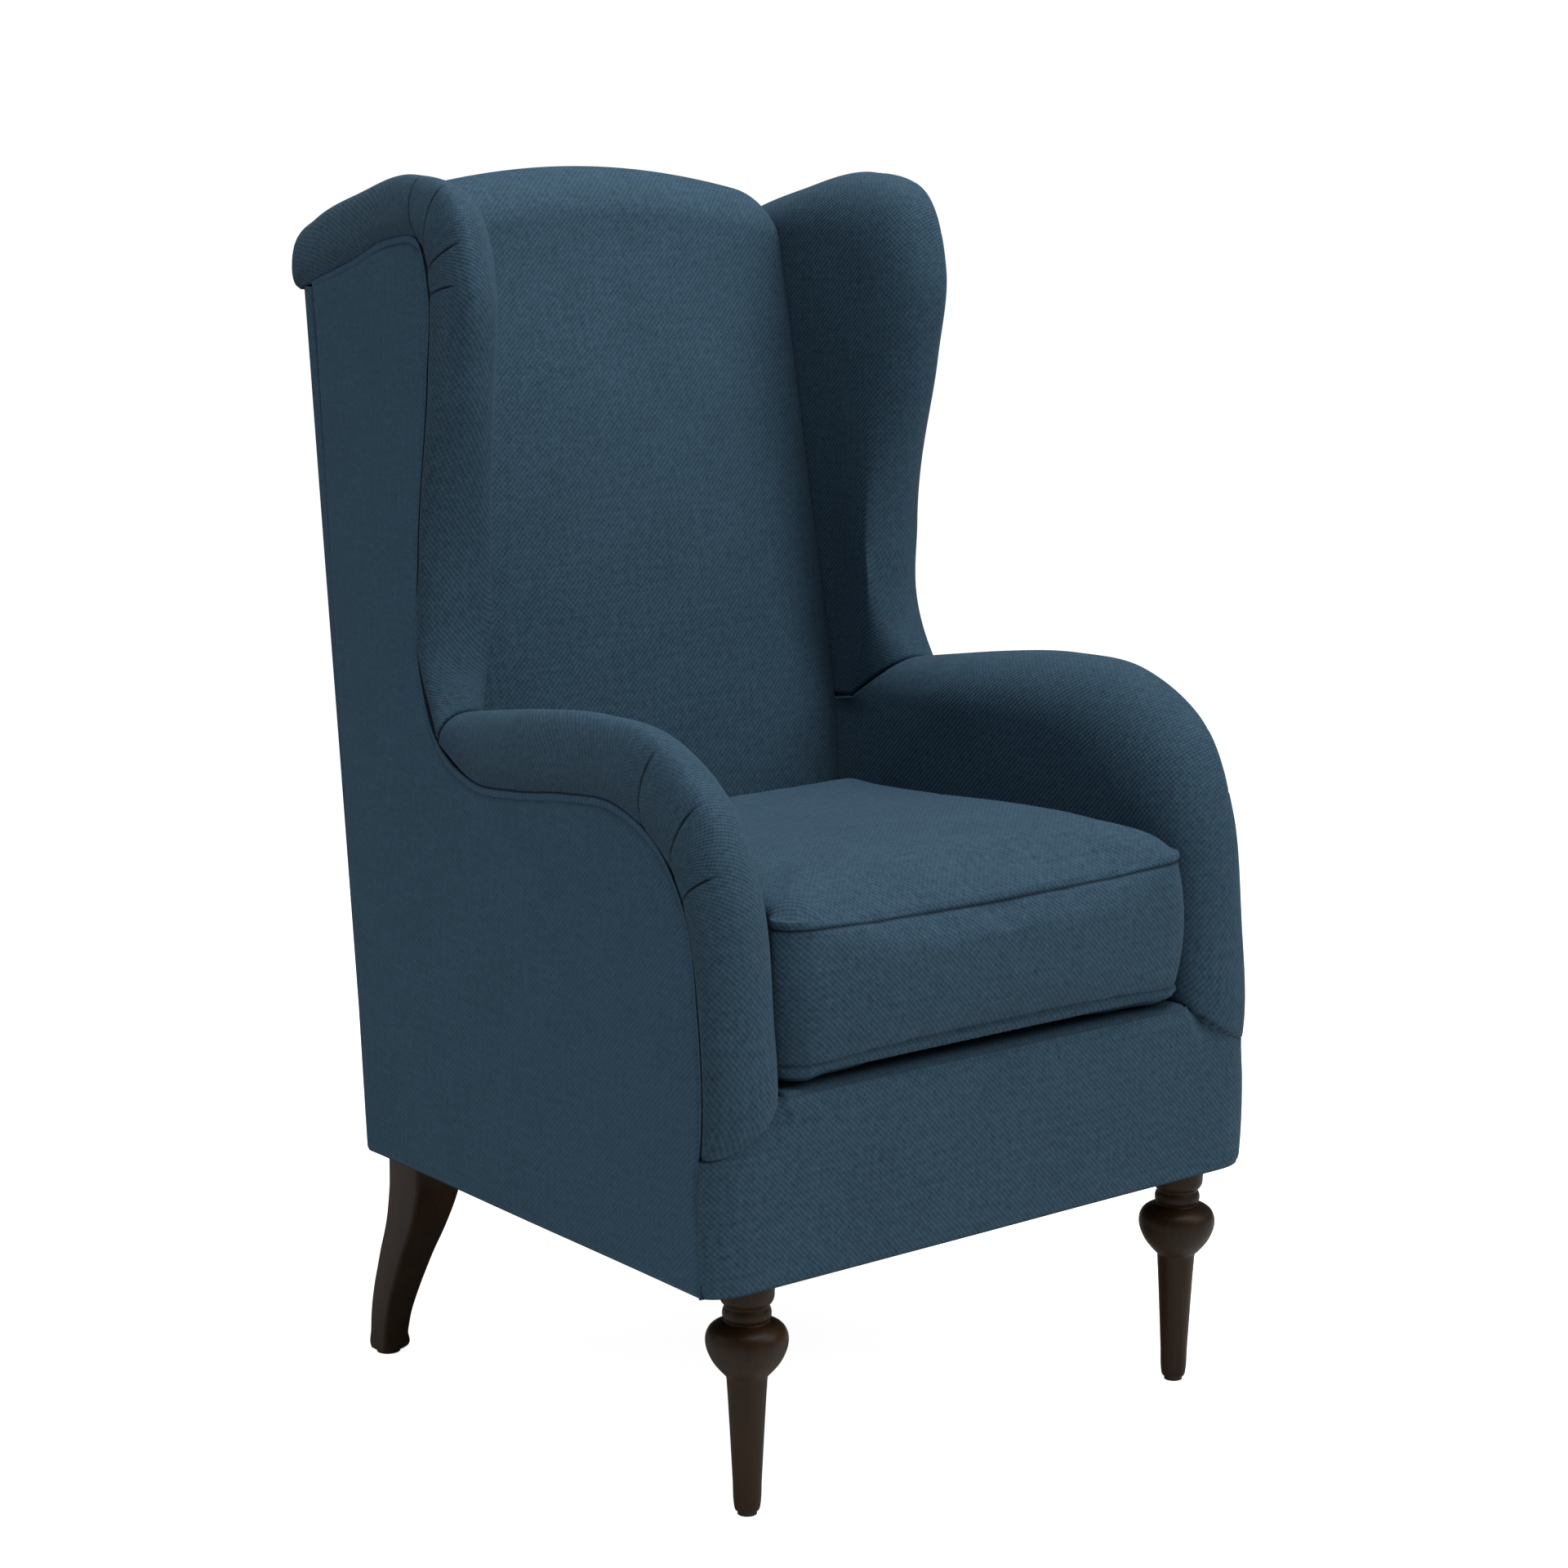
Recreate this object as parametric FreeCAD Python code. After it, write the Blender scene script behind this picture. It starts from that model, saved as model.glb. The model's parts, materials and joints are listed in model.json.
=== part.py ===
import FreeCAD, Part
import math
import os

from FreeCAD import Vector

# High-back wing armchair on four wooden legs, with a loose boxed seat cushion. Millimetres, +Z up.
# The chair faces -Y, so the sitter's left hand is on +X. The origin is on the floor, in the middle
# of the chair's footprint box. "Left" parts are on +X, and right parts are their mirror images.

# Driving dimensions
chair_height = 1090.0
base_bottom = 202.0          # lower hem of the outer covers, above the floor
front_half_width = 309.0     # outer cover of the side, at the front corner of the base
lean_back = 0.02             # the side's outer plane closes in this much per mm towards the rear
lean_up = 0.025              # and this much per mm of height
side_origin = Vector(front_half_width, -320.0, 200.0)
arm_thickness = 77.0
wing_thickness = 63.0
cover_thickness = 5.0        # outer cover with its wadding
board = 25.0                 # thickness of the frame's boards
back_foot_y = 196.0          # outer back cover where it meets the base bottom
back_slope = 0.1454          # the outer back runs this much to the rear per mm of height
back_depth = 45.0            # front to back size of a back post
pad_rise = 5.0               # wadding between the outer back and its posts, with the cover
notch = (78.0, 621.0)        # where the wing's roll meets the arm's roll
shift_to_middle = 5.0        # moves the model so that its footprint box is centred on the origin

plate_bottom = 203.5         # the leg plates stand on the dust cover
rail_bottom = 207.0
rail_top = 300.0
front_face = -336.0          # front of the border below the cushion
border_thickness = 12.0
front_rail_thickness = 30.0
border_side_top = 316.0      # seam between the arm's front and the border, at the outer edge
deck_top = 360.0             # top of the deck that the cushion rests on

cushion_bottom = 361.5
cushion_top = 505.0
cushion_front = -335.0
cushion_rear = 108.0
cushion_front_half = 220.0
cushion_rear_half = 211.5
cushion_cloth = 1.5
zip_height = 427.0
zip_half_length = 190.0
pull_length = 18.0

leg_top = base_bottom
front_leg_x = 248.0
front_leg_y = -305.0
rear_leg_outer_x = 287.0
rear_bolt = (255.0, 148.0)
bolt_radius = 4.0
bolt_bottom = 165.0
bolt_top = 245.0
corner_block_top = 280.0
glide_height = 3.0
front_glide_radius = 8.2
rear_glide_radius = 11.0
plate_thickness = 2.2
spring_height = 308.0
deck_rear = 150.0

os.makedirs("parts", exist_ok=True)


# Helpers

def save(name, shape):
    """Moves a finished part so that the footprint is centred, and writes it."""
    placed = shape.copy()
    placed.translate(Vector(0, shift_to_middle, 0))
    placed.exportStep(f"parts/{name}.step")


def save_pair(name, shape):
    """Writes a left part and its mirror image across the chair's middle plane."""
    save("left_" + name, shape)
    save("right_" + name, mirrored(shape))


def mirrored(shape):
    return shape.mirror(Vector(0, 0, 0), Vector(1, 0, 0))


def both_sides(shape):
    return [shape, mirrored(shape)]


def block(x0, x1, y0, y1, z0, z1):
    return Part.makeBox(x1 - x0, y1 - y0, z1 - z0, Vector(x0, y0, z0))


def curve(points):
    """One smooth edge through the points."""
    spline = Part.BSplineCurve()
    spline.interpolate(points)
    return spline.toShape()


def polyline(points):
    return [Part.makeLine(a, b) for a, b in zip(points, points[1:])]


def arc(a, middle, b):
    return Part.Arc(a, middle, b).toShape()


def in_side(points, x):
    """Points given as (y, z) on the side's own plane."""
    return [Vector(x, y, z) for y, z in points]


def side_prism(edges_at, x0, x1):
    """A closed outline on the side's plane, carried from x0 out to x1."""
    face = Part.Face(Part.Wire(Part.__sortEdges__(edges_at(x0))))
    return face.extrude(Vector(x1 - x0, 0, 0))


def side_polygon(points, x0, x1):
    return side_prism(lambda x: polyline(in_side(points + points[:1], x)), x0, x1)


def on_side(shape):
    """Turns a part built square to the chair into the side's leaning plane."""
    placed = shape.copy()
    placed.rotate(side_origin, Vector(0, 0, 1), math.degrees(math.atan(lean_back)))
    placed.rotate(side_origin, Vector(0, 1, 0), -math.degrees(math.atan(lean_up)))
    return placed


def on_back(shape):
    """Turns a part built upright, with y = 0 on the outer back, to the back's slope."""
    placed = shape.copy()
    placed.translate(Vector(0, back_foot_y, 0))
    pivot = Vector(0, back_foot_y, base_bottom)
    placed.rotate(pivot, Vector(1, 0, 0), -math.degrees(math.atan(back_slope)))
    return placed


def back_y(z):
    """Where the outer back is at a height."""
    return back_foot_y + back_slope * (z - base_bottom)


def plan_prism(points, z0, z1):
    """A closed outline in plan, given as (x, y), carried from z0 up to z1."""
    corners = [Vector(x, y, z0) for x, y in points + points[:1]]
    return Part.Face(Part.Wire(polyline(corners))).extrude(Vector(0, 0, z1 - z0))


def front_prism(edges, y1):
    """A closed outline on an upright plane, carried along y to y1."""
    face = Part.Face(Part.Wire(Part.__sortEdges__(edges)))
    return face.extrude(Vector(0, y1 - face.BoundBox.YMin, 0))


def smooth_edges(shape):
    """The edges that belong to a smooth outline rather than to straight sides."""
    return [e for e in shape.Edges if isinstance(e.Curve, Part.BSplineCurve)]


# Where the side's boards lie, across its thickness

board_out = front_half_width - cover_thickness
board_in = board_out - board
arm_in = front_half_width - arm_thickness
wing_in = front_half_width - wing_thickness
post_rear = pad_rise + 1.0


# Side frame: rail, arm post, arm rail, wing post, wing rail and back post

arm_post_front = -293.0
arm_post_back = -249.0
arm_rail_bottom = 547.0
arm_rail_top = 572.0
arm_shoulder = [(arm_post_front, 500), (-262, 550), (arm_post_back, 564), (-235, arm_rail_top)]
wing_post_front = 112.0
wing_post_back = 150.0
wing_rail_bottom = 950.0
wing_rail_top = 978.0
wing_head = [(wing_post_back, wing_rail_top + 12), (104, wing_rail_top + 18), (102, 940)]


def post_front_y(z):
    return back_y(z) - post_rear - back_depth


def make_side_frame():
    side_rail = [(arm_post_front, rail_bottom), (post_front_y(rail_bottom), rail_bottom),
                 (post_front_y(rail_top), rail_top), (arm_post_front, rail_top)]
    arm_post = [(arm_post_front, rail_top), (arm_post_back, rail_top)] + arm_shoulder[::-1][1:]
    arm_rail = [(arm_post_back, arm_rail_bottom), (post_front_y(arm_rail_bottom), arm_rail_bottom),
                (post_front_y(arm_rail_top), arm_rail_top)] + arm_shoulder[::-1][:2]
    wing_post = [(wing_post_front, arm_rail_top), (wing_post_back, arm_rail_top)] + wing_head
    wing_rail = [(wing_post_back, wing_rail_bottom), (post_front_y(wing_rail_bottom), wing_rail_bottom),
                 (post_front_y(wing_rail_top), wing_rail_top), (wing_post_back, wing_rail_top + 12)]
    back_post = [(post_front_y(rail_bottom), rail_bottom),
                 (post_front_y(rail_bottom) + back_depth, rail_bottom),
                 (post_front_y(wing_rail_top) + back_depth, wing_rail_top),
                 (post_front_y(wing_rail_top), wing_rail_top)]
    members = {"side_rail": side_rail, "arm_post": arm_post, "arm_rail": arm_rail,
               "wing_post": wing_post, "wing_rail": wing_rail, "back_post": back_post}
    for name, points in members.items():
        save_pair(name, on_side(side_polygon(points, board_in, board_out)))


# Arm and wing pads: a thick rounded plate over the boards, hollow where the boards are

arm_outline = [(-340, 318), (-340, 420), (-325, 530), (-288, 589), (-212, 631), (-138, 642),
               (-40, 634), notch]
wing_outline = [notch, (83, 655), (76, 746), (56, 910), (54, 995), (88, 1065), (158, 1086.5),
                (235, 1077), (324, 1050)]
wing_heel = (331.0, 1012.0)      # rear end of the wing's roll, proud of the outer back
arm_wing_seam = (130.0, 584.0)   # inner end of the seam between the arm and the wing
arm_roll_radius = 34.0
wing_roll_radius = 27.0


def rear_edge(z):
    return back_y(z) - cover_thickness - 0.5


def behind_back():
    """The space at the back posts' inner faces, which belongs to the back and its rails."""
    low, high, far = 300.0, 1036.0, 420.0
    outline = [(post_front_y(low) - 5, low), (post_front_y(high) - 5, high), (far, high), (far, low)]
    return side_polygon(outline, arm_in - 1, board_in - 2)


def make_arm_pad(border):
    seam_z = arm_wing_seam[1]
    closing = [notch, arm_wing_seam, (rear_edge(seam_z) - back_depth, seam_z),
               (rear_edge(arm_outline[0][1]) - back_depth, arm_outline[0][1]), arm_outline[0]]

    def edges(x):
        return [curve(in_side(arm_outline, x))] + polyline(in_side(closing, x))

    plate = side_prism(edges, arm_in, board_out)
    plate = plate.makeFillet(arm_roll_radius, smooth_edges(plate))
    boards = side_polygon([(arm_post_front, 200)] + arm_shoulder + [
        (wing_post_front - 1, arm_rail_top), (wing_post_front - 1, 700), (400, 700), (400, 200)],
        board_in - 3, board_out + 1)
    return on_side(plate.cut([boards, behind_back()])).cut(border)


def make_wing_pad():
    seam_z = arm_wing_seam[1]
    closing = [wing_outline[-1], wing_heel, (rear_edge(1006), 1006), (rear_edge(seam_z), seam_z),
               arm_wing_seam, notch]

    def edges(x):
        return [curve(in_side(wing_outline, x))] + polyline(in_side(closing, x))

    plate = side_prism(edges, wing_in, board_out)
    plate = plate.makeFillet(wing_roll_radius, smooth_edges(plate))
    boards = side_polygon([(wing_post_front, 500)] + wing_head[::-1] + [
        (rear_edge(wing_rail_top), wing_rail_top), (rear_edge(500), 500)], board_in - 2, board_out + 1)
    arm_below = side_polygon([notch, arm_wing_seam, (400, seam_z), (400, 400), (0, 400)],
                             arm_in - 1, board_out + 1)
    return on_side(plate.cut([boards, arm_below, behind_back()]))


def make_liners():
    """Stiff liner sheets on the inner face of the boards, which the arm and wing pads lie on."""
    arm = side_polygon([(arm_post_front, 318), (post_front_y(318), 318),
                        (post_front_y(arm_rail_top), arm_rail_top)] + arm_shoulder[::-1],
                       board_in - 3, board_in)
    wing_low = arm_rail_top + 14
    wing = side_polygon([(wing_post_front, wing_low), (post_front_y(wing_low), wing_low),
                         (post_front_y(wing_rail_top), wing_rail_top)] + wing_head, board_in - 2, board_in)
    save_pair("arm_liner", on_side(arm))
    save_pair("wing_liner", on_side(wing))


# Outer covers: one continuous side panel from the wing to the base, with a flat welt round its edge

panel_outline = [(-322, base_bottom), (-318, 311), (-312, 430), (-287, 524), (-235, 574), (-160, 585),
                 (-60, 573), (20, 570), (76, 596), (102, 650), (96, 780), (86, 930), (93, 1009),
                 (132, 1034), (200, 1014), (310, 985)]
welt_width = 6.0


def inset_points(points, distance):
    """Moves each corner of a closed outline inwards along the line that halves its angle."""
    moved = []
    for i, (y, z) in enumerate(points):
        (ay, az), (by, bz) = points[i - 1], points[(i + 1) % len(points)]
        first = Vector(y - ay, z - az, 0).normalize()
        second = Vector(by - y, bz - z, 0).normalize()
        middle = (first + second).normalize()
        reach = distance / max(0.5, middle.dot(first))
        moved.append((y + middle.y * reach, z - middle.x * reach))
    return moved


def make_side_panel():
    outline = panel_outline + [(back_foot_y, base_bottom)]
    inset = inset_points(outline, welt_width)

    def edges(points):
        return lambda x: ([curve(in_side(points[1:-1], x))] + polyline(in_side(points[:2], x))
                          + polyline(in_side([points[-2], points[-1], points[0]], x)))

    outer = side_prism(edges(outline), board_out, front_half_width)
    inner = side_prism(edges(inset), board_out, front_half_width)
    save_pair("side_panel", on_side(inner))
    save_pair("side_welt", on_side(outer.cut(inner)))


# Seat base

side_seam = [(301, border_side_top), (262, 330), (240, 357)]   # lower edge of the arm's front
border_top = 358.0


def make_front_border():
    """The border across the front, which rises between the arms along a curved seam."""
    y = front_face
    right = [Vector(-px, y, z) for px, z in side_seam]
    left = [Vector(px, y, z) for px, z in side_seam]
    bottom = polyline([right[0], Vector(-301, y, base_bottom), Vector(301, y, base_bottom), left[0]])
    edges = bottom + [arc(*left), arc(*right), Part.makeLine(left[-1], right[-1])]
    border = front_prism(edges, front_face + border_thickness)
    upright = [e for e in border.Edges if e.BoundBox.YLength < 0.01 and abs(e.CenterOfMass.x) > 300
               and e.CenterOfMass.y < front_face + 1 and e.BoundBox.ZLength > 50]
    return border.makeFillet(border_thickness - 2, upright)


def side_inner_x(y, z):
    """Inner face of the side boards, in the chair's own frame."""
    return board_in - lean_back * (y - side_origin.y) - lean_up * (z - side_origin.z)


def leg_places():
    front = [(side * front_leg_x, front_leg_y) for side in (1, -1)]
    rear = [(side * rear_bolt[0], rear_bolt[1]) for side in (1, -1)]
    return front + rear


def bolts():
    """The four hanger bolts, which are also what is cut from the parts that they pass."""
    length = bolt_top - bolt_bottom
    return [Part.makeCylinder(bolt_radius, length, Vector(x, y, bolt_bottom)) for x, y in leg_places()]


back_rail_front = 158.0
front_rail_back = front_face + border_thickness + front_rail_thickness


def make_base_frame():
    half = front_half_width - cover_thickness - 4
    front_rail = block(-half, half, front_face + border_thickness, front_rail_back, rail_bottom, rail_top)
    save("front_rail", front_rail.cut(bolts()))
    half = side_inner_x(back_rail_front + board, rail_top) - 0.5
    save("back_rail", block(-half, half, back_rail_front, back_rail_front + board, rail_bottom, rail_top))
    reach = 60.0
    front_x = side_inner_x(front_rail_back + reach, corner_block_top) - 0.5
    rear_x = side_inner_x(back_rail_front, corner_block_top) - 0.5
    front = plan_prism([(front_x, front_rail_back), (front_x - reach, front_rail_back),
                        (front_x, front_rail_back + reach)], rail_bottom, corner_block_top)
    rear = plan_prism([(rear_x, back_rail_front), (rear_x - reach, back_rail_front),
                       (rear_x, back_rail_front - reach)], rail_bottom, corner_block_top)
    blocks = [b.cut(bolts()) for b in both_sides(front) + both_sides(rear)]
    save("corner_blocks", Part.makeCompound(blocks))


def make_dust_cover():
    corner = front_half_width - cover_thickness - 1
    rear = 186.0
    rear_x = corner - lean_back * (rear - side_origin.y)
    front = front_face + border_thickness
    outline = [(corner, front), (rear_x, rear), (-rear_x, rear), (-corner, front)]
    save("dust_cover", plan_prism(outline, base_bottom, plate_bottom).cut(bolts()))


def make_springs():
    """Sinuous wire springs: straight bars across, joined by half-round bends, from rail to rail."""
    wire_radius, bar_half, pitch, bars, first_y = 1.9, 16.0, 18.6, 26, -302.0
    clip_half, clip_wall, clip_foot = 9.0, 1.5, 7.5
    height = spring_height
    clip_top = height + wire_radius
    springs, clips = [], []
    for place in (-176, -88, 0, 88, 176):
        edges = []
        for i in range(bars):
            y = first_y + i * pitch
            way = 1 if i % 2 == 0 else -1
            start, end = Vector(place - way * bar_half, y, height), Vector(place + way * bar_half, y, height)
            edges.append(Part.makeLine(start, end))
            if i < bars - 1:
                far = Vector(place + way * (bar_half + pitch / 2), y + pitch / 2, height)
                edges.append(arc(end, far, Vector(end.x, y + pitch, height)))
        path = Part.Wire(edges)
        ring = Part.Wire(Part.makeCircle(wire_radius, edges[0].Vertexes[0].Point, Vector(1, 0, 0)))
        springs.append(path.makePipeShell([ring], True, False))
        last_y = first_y + (bars - 1) * pitch
        for y, out in ((first_y, -1), (last_y, 1)):
            x0, x1 = place - clip_half, place + clip_half
            bend, edge = y + out * 5, y + out * (5 + clip_wall)
            top = block(x0, x1, y - 5, y + 5, clip_top, clip_top + clip_wall)
            wall = block(x0, x1, min(bend, edge), max(bend, edge), rail_top, clip_top + clip_wall)
            toe = edge + out * clip_foot
            foot = block(x0, x1, min(edge, toe), max(edge, toe), rail_top, rail_top + clip_wall)
            clips.append(top.fuse([wall, foot]).removeSplitter())
    tie_radius, tie_half = 1.5, 220.0
    tie_z = height - wire_radius - tie_radius
    ties = [Part.makeCylinder(tie_radius, 2 * tie_half, Vector(-tie_half, y, tie_z), Vector(1, 0, 0))
            for y in (-150, 0)]
    save("seat_springs", Part.makeCompound(springs))
    save("spring_clips", Part.makeCompound(clips))
    save("spring_tie_wires", Part.makeCompound(ties))


def deck_outline(front, rear, gap):
    """A trapezium that stays clear of the arms' inner faces."""
    def half(y):
        return arm_in - lean_back * (y - side_origin.y) - lean_up * (deck_top - side_origin.z) - gap

    return [(half(front), front), (half(rear), rear), (-half(rear), rear), (-half(front), front)]


def make_deck():
    cloth_z, pad_z, cover_z = 313.0, 315.0, deck_top - 2
    roll_radius = 14.0
    front = front_face + border_thickness
    roll_start = Vector(-200, front + roll_radius + 0.5, cover_z - roll_radius - 0.5)
    roll = Part.makeCylinder(roll_radius, 400, roll_start, Vector(1, 0, 0))
    pad = plan_prism(deck_outline(front, deck_rear, 1), pad_z, cover_z)
    save("front_edge_roll", roll)
    save("deck_pad", pad.cut(roll))
    save("spring_cloth", plan_prism(deck_outline(front, deck_rear + 2, 6), cloth_z, pad_z))
    save("deck_cover", plan_prism(deck_outline(front, deck_rear, 1), cover_z, deck_top))


# Back: crest rail and lower rail between the posts, webbing, burlap and the inside back pad

back_scale = math.sqrt(1 + back_slope ** 2)     # length along the slope for each mm of height
crest_drop = 36.0                               # the crest's fall from its middle to the wings
crest_half = 246.0


def along_back(z):
    """Height on an upright back that ends at this height once it is sloped."""
    return base_bottom + (z - base_bottom) * back_scale


def arched(half, z0, z_side, z_middle, y):
    """Edges of an upright board with an arched top."""
    a, b = Vector(-half, y, along_back(z_side)), Vector(half, y, along_back(z_side))
    sides = polyline([a, Vector(-half, y, along_back(z0)), Vector(half, y, along_back(z0)), b])
    return sides + [arc(b, Vector(0, y, along_back(z_middle)), a)]


def make_back():
    front_w = -post_rear - back_depth
    crest = front_prism(arched(243, 950, 992, 1030, front_w), front_w + board)
    save("crest_rail", on_back(crest))
    lower = block(-261, 261, front_w, front_w + board, along_back(332), along_back(380))
    save("lower_back_rail", on_back(lower))
    strap, thick = 25.0, 1.2
    straps = [block(x - strap, x + strap, front_w - thick, front_w, along_back(340), along_back(1010))
              for x in (-140, 0, 140)]
    straps += [block(-235, 235, front_w - 2 * thick, front_w - thick,
                     along_back(z) - strap, along_back(z) + strap) for z in (450, 575, 700, 825, 940)]
    save("back_webbing", on_back(Part.makeCompound(straps)))
    burlap_back = front_w - 2 * thick
    burlap = front_prism(arched(236, 366, 985, 1020, burlap_back - 1), burlap_back)
    save("back_burlap", on_back(burlap))
    side_space = [on_side(block(arm_in, 400, -500, 500, 100, arm_wing_seam[1])),
                  on_side(block(wing_in, 400, -500, 500, arm_wing_seam[1] - 0.1, 1300))]
    front_low, front_high = -107.0, -95.0
    profile = [(front_low, 363), (front_high, 1000), (front_high + 5, 363)]
    slab = Part.Face(Part.Wire(polyline([Vector(-260, y, along_back(z)) for y, z in profile + profile[:1]])))
    slab = slab.extrude(Vector(520, 0, 0))
    top = chair_height - 7
    pad = front_prism(arched(crest_half + 14, 363, top - crest_drop, top, front_high), 4)
    rim = [e for e in pad.Edges if isinstance(e.Curve, Part.Circle)]
    pad = pad.makeFillet(42, rim)
    pad = pad.fuse(slab)
    frame_space = front_prism(arched(crest_half + 14, 300, 992, 1030, burlap_back - 1), 60)
    pad = on_back(pad.cut(frame_space))
    for space in side_space:
        pad = pad.cut(both_sides(space))
    save("inside_back_pad", pad.removeSplitter())
    panel_bottom = side_inner_x(back_foot_y, base_bottom) + board - 0.5
    panel_top = side_inner_x(back_y(985), 985) + board - 0.5
    y = -cover_thickness
    a, b = Vector(-panel_top, y, along_back(985)), Vector(panel_top, y, along_back(985))
    c, d = Vector(panel_bottom, y, along_back(base_bottom)), Vector(-panel_bottom, y, along_back(base_bottom))
    edges = polyline([b, c, d, a]) + [arc(a, Vector(0, y, along_back(1028)), b)]
    save("outside_back_panel", on_back(front_prism(edges, 0)))


# Legs

def make_front_leg():
    """A turned leg: collar, neck, ring, ball and a long plain taper."""
    def at(radius, z):
        return Vector(radius, 0, z)

    edges = polyline([at(0, leg_top), at(24.2, leg_top), at(24.2, 197)])
    edges.append(arc(at(24.2, 197), at(19.6, 191), at(17.9, 181.5)))
    edges.append(arc(at(17.9, 181.5), at(22.2, 174), at(18.6, 166.5)))
    edges.append(arc(at(18.6, 166.5), at(30.6, 161.5), at(33.4, 150)))
    edges.append(arc(at(33.4, 150), at(28.6, 131.5), at(16.2, 117)))
    edges += polyline([at(16.2, 117), at(10.4, 8)])
    edges.append(arc(at(10.4, 8), at(9.9, 5), at(8.6, glide_height)))
    edges += polyline([at(8.6, glide_height), at(0, glide_height), at(0, leg_top)])
    leg = Part.Face(Part.Wire(edges)).revolve(Vector(0, 0, 0), Vector(0, 0, 1), 360)
    leg.translate(Vector(front_leg_x, front_leg_y, 0))
    return leg.cut(bolts())


def rounded_rectangle(x0, x1, y0, y1, z, radius):
    """A closed wire with four quarter-round corners."""
    corners = [(x1, y1, 0), (x0, y1, 90), (x0, y0, 180), (x1, y0, 270)]
    arcs = []
    for x, y, turn in corners:
        cx = x - radius if x == x1 else x + radius
        cy = y - radius if y == y1 else y + radius
        points = [Vector(cx + radius * math.cos(math.radians(turn + a)),
                         cy + radius * math.sin(math.radians(turn + a)), z) for a in (0, 45, 90)]
        arcs.append(arc(*points))
    edges = []
    for i, bend in enumerate(arcs):
        edges.append(bend)
        edges.append(Part.makeLine(bend.Vertexes[-1].Point, arcs[(i + 1) % 4].Vertexes[0].Point))
    return Part.Wire(edges)


def make_rear_leg():
    """A square leg that sweeps to the rear and slims towards the foot."""
    sections = [(leg_top, 129, 180, 50), (172, 132, 180.5, 48), (140, 143, 186, 43), (106, 160.5, 198, 38),
                (70, 177, 210, 33), (40, 188, 217, 29), (glide_height, 194, 220, 26)]
    wires = [rounded_rectangle(rear_leg_outer_x - width, rear_leg_outer_x, y0, y1, z, 3.5)
             for z, y0, y1, width in sections]
    return Part.makeLoft(wires, True, False).cut(bolts())


def make_legs():
    save_pair("front_leg", make_front_leg())
    save_pair("rear_leg", make_rear_leg())
    save("hanger_bolts", Part.makeCompound(bolts()))
    plates = [block(x - 18, x + 18, y - 16, y + 10, plate_bottom, plate_bottom + plate_thickness)
              for x, y in leg_places()]
    save("leg_plates", Part.makeCompound([p.cut(bolts()) for p in plates]))
    front_glide = Part.makeCylinder(front_glide_radius, glide_height, Vector(front_leg_x, front_leg_y, 0))
    rear_glide = Part.makeCylinder(rear_glide_radius, glide_height, Vector(rear_leg_outer_x - 13, 207, 0))
    glides = both_sides(front_glide) + both_sides(rear_glide)
    save("leg_glides", Part.makeCompound(glides))


# Seat cushion, zip tape, slider and pull

def cushion_plan(inset):
    """The cushion's outline in plan, with large round corners at the front and small ones behind."""
    front_r, rear_r = 42.0 - inset, 16.0 - inset
    fx, rx = cushion_front_half - inset, cushion_rear_half - inset
    fy, ry = cushion_front + inset, cushion_rear - inset
    slope = (fx - rx) / (ry - fy)
    corner = math.sqrt(0.5)
    front_y, rear_y = fy + front_r, ry - rear_r
    side_front, side_rear = fx - slope * front_r, rx + slope * rear_r
    points = [
        (-fx + front_r, fy), (fx - front_r, fy),
        (fx - front_r * (1 - corner), front_y - front_r * corner), (side_front, front_y),
        (side_rear, rear_y), (rx - rear_r * (1 - corner), rear_y + rear_r * corner), (rx - rear_r, ry)]
    return points


def cushion_solid(inset, z0, z1):
    f0, f1, f2, f3, r0, r1, r2 = cushion_plan(inset)
    def at(point, side):
        return Vector(side * point[0], point[1], z0)
    edges = [Part.makeLine(at(f1, -1), at(f1, 1))]
    edges += [arc(at(f1, 1), at(f2, 1), at(f3, 1)), Part.makeLine(at(f3, 1), at(r0, 1))]
    edges += [arc(at(r0, 1), at(r1, 1), at(r2, 1)), Part.makeLine(at(r2, 1), at(r2, -1))]
    edges += [arc(at(r2, -1), at(r1, -1), at(r0, -1)), Part.makeLine(at(r0, -1), at(f3, -1))]
    edges += [arc(at(f3, -1), at(f2, -1), at(f1, -1))]
    return Part.Face(Part.Wire(edges)).extrude(Vector(0, 0, z1 - z0))


def make_cushion():
    low, high = cushion_bottom + cushion_cloth, cushion_top - cushion_cloth
    foam = cushion_solid(cushion_cloth, low, high)
    save("cushion_foam", foam)
    save("cushion_boxing", cushion_solid(0, low, high).cut(foam))
    save("cushion_top_cover", cushion_solid(0, high, cushion_top))
    save("cushion_bottom_cover", cushion_solid(0, cushion_bottom, low))


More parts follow.
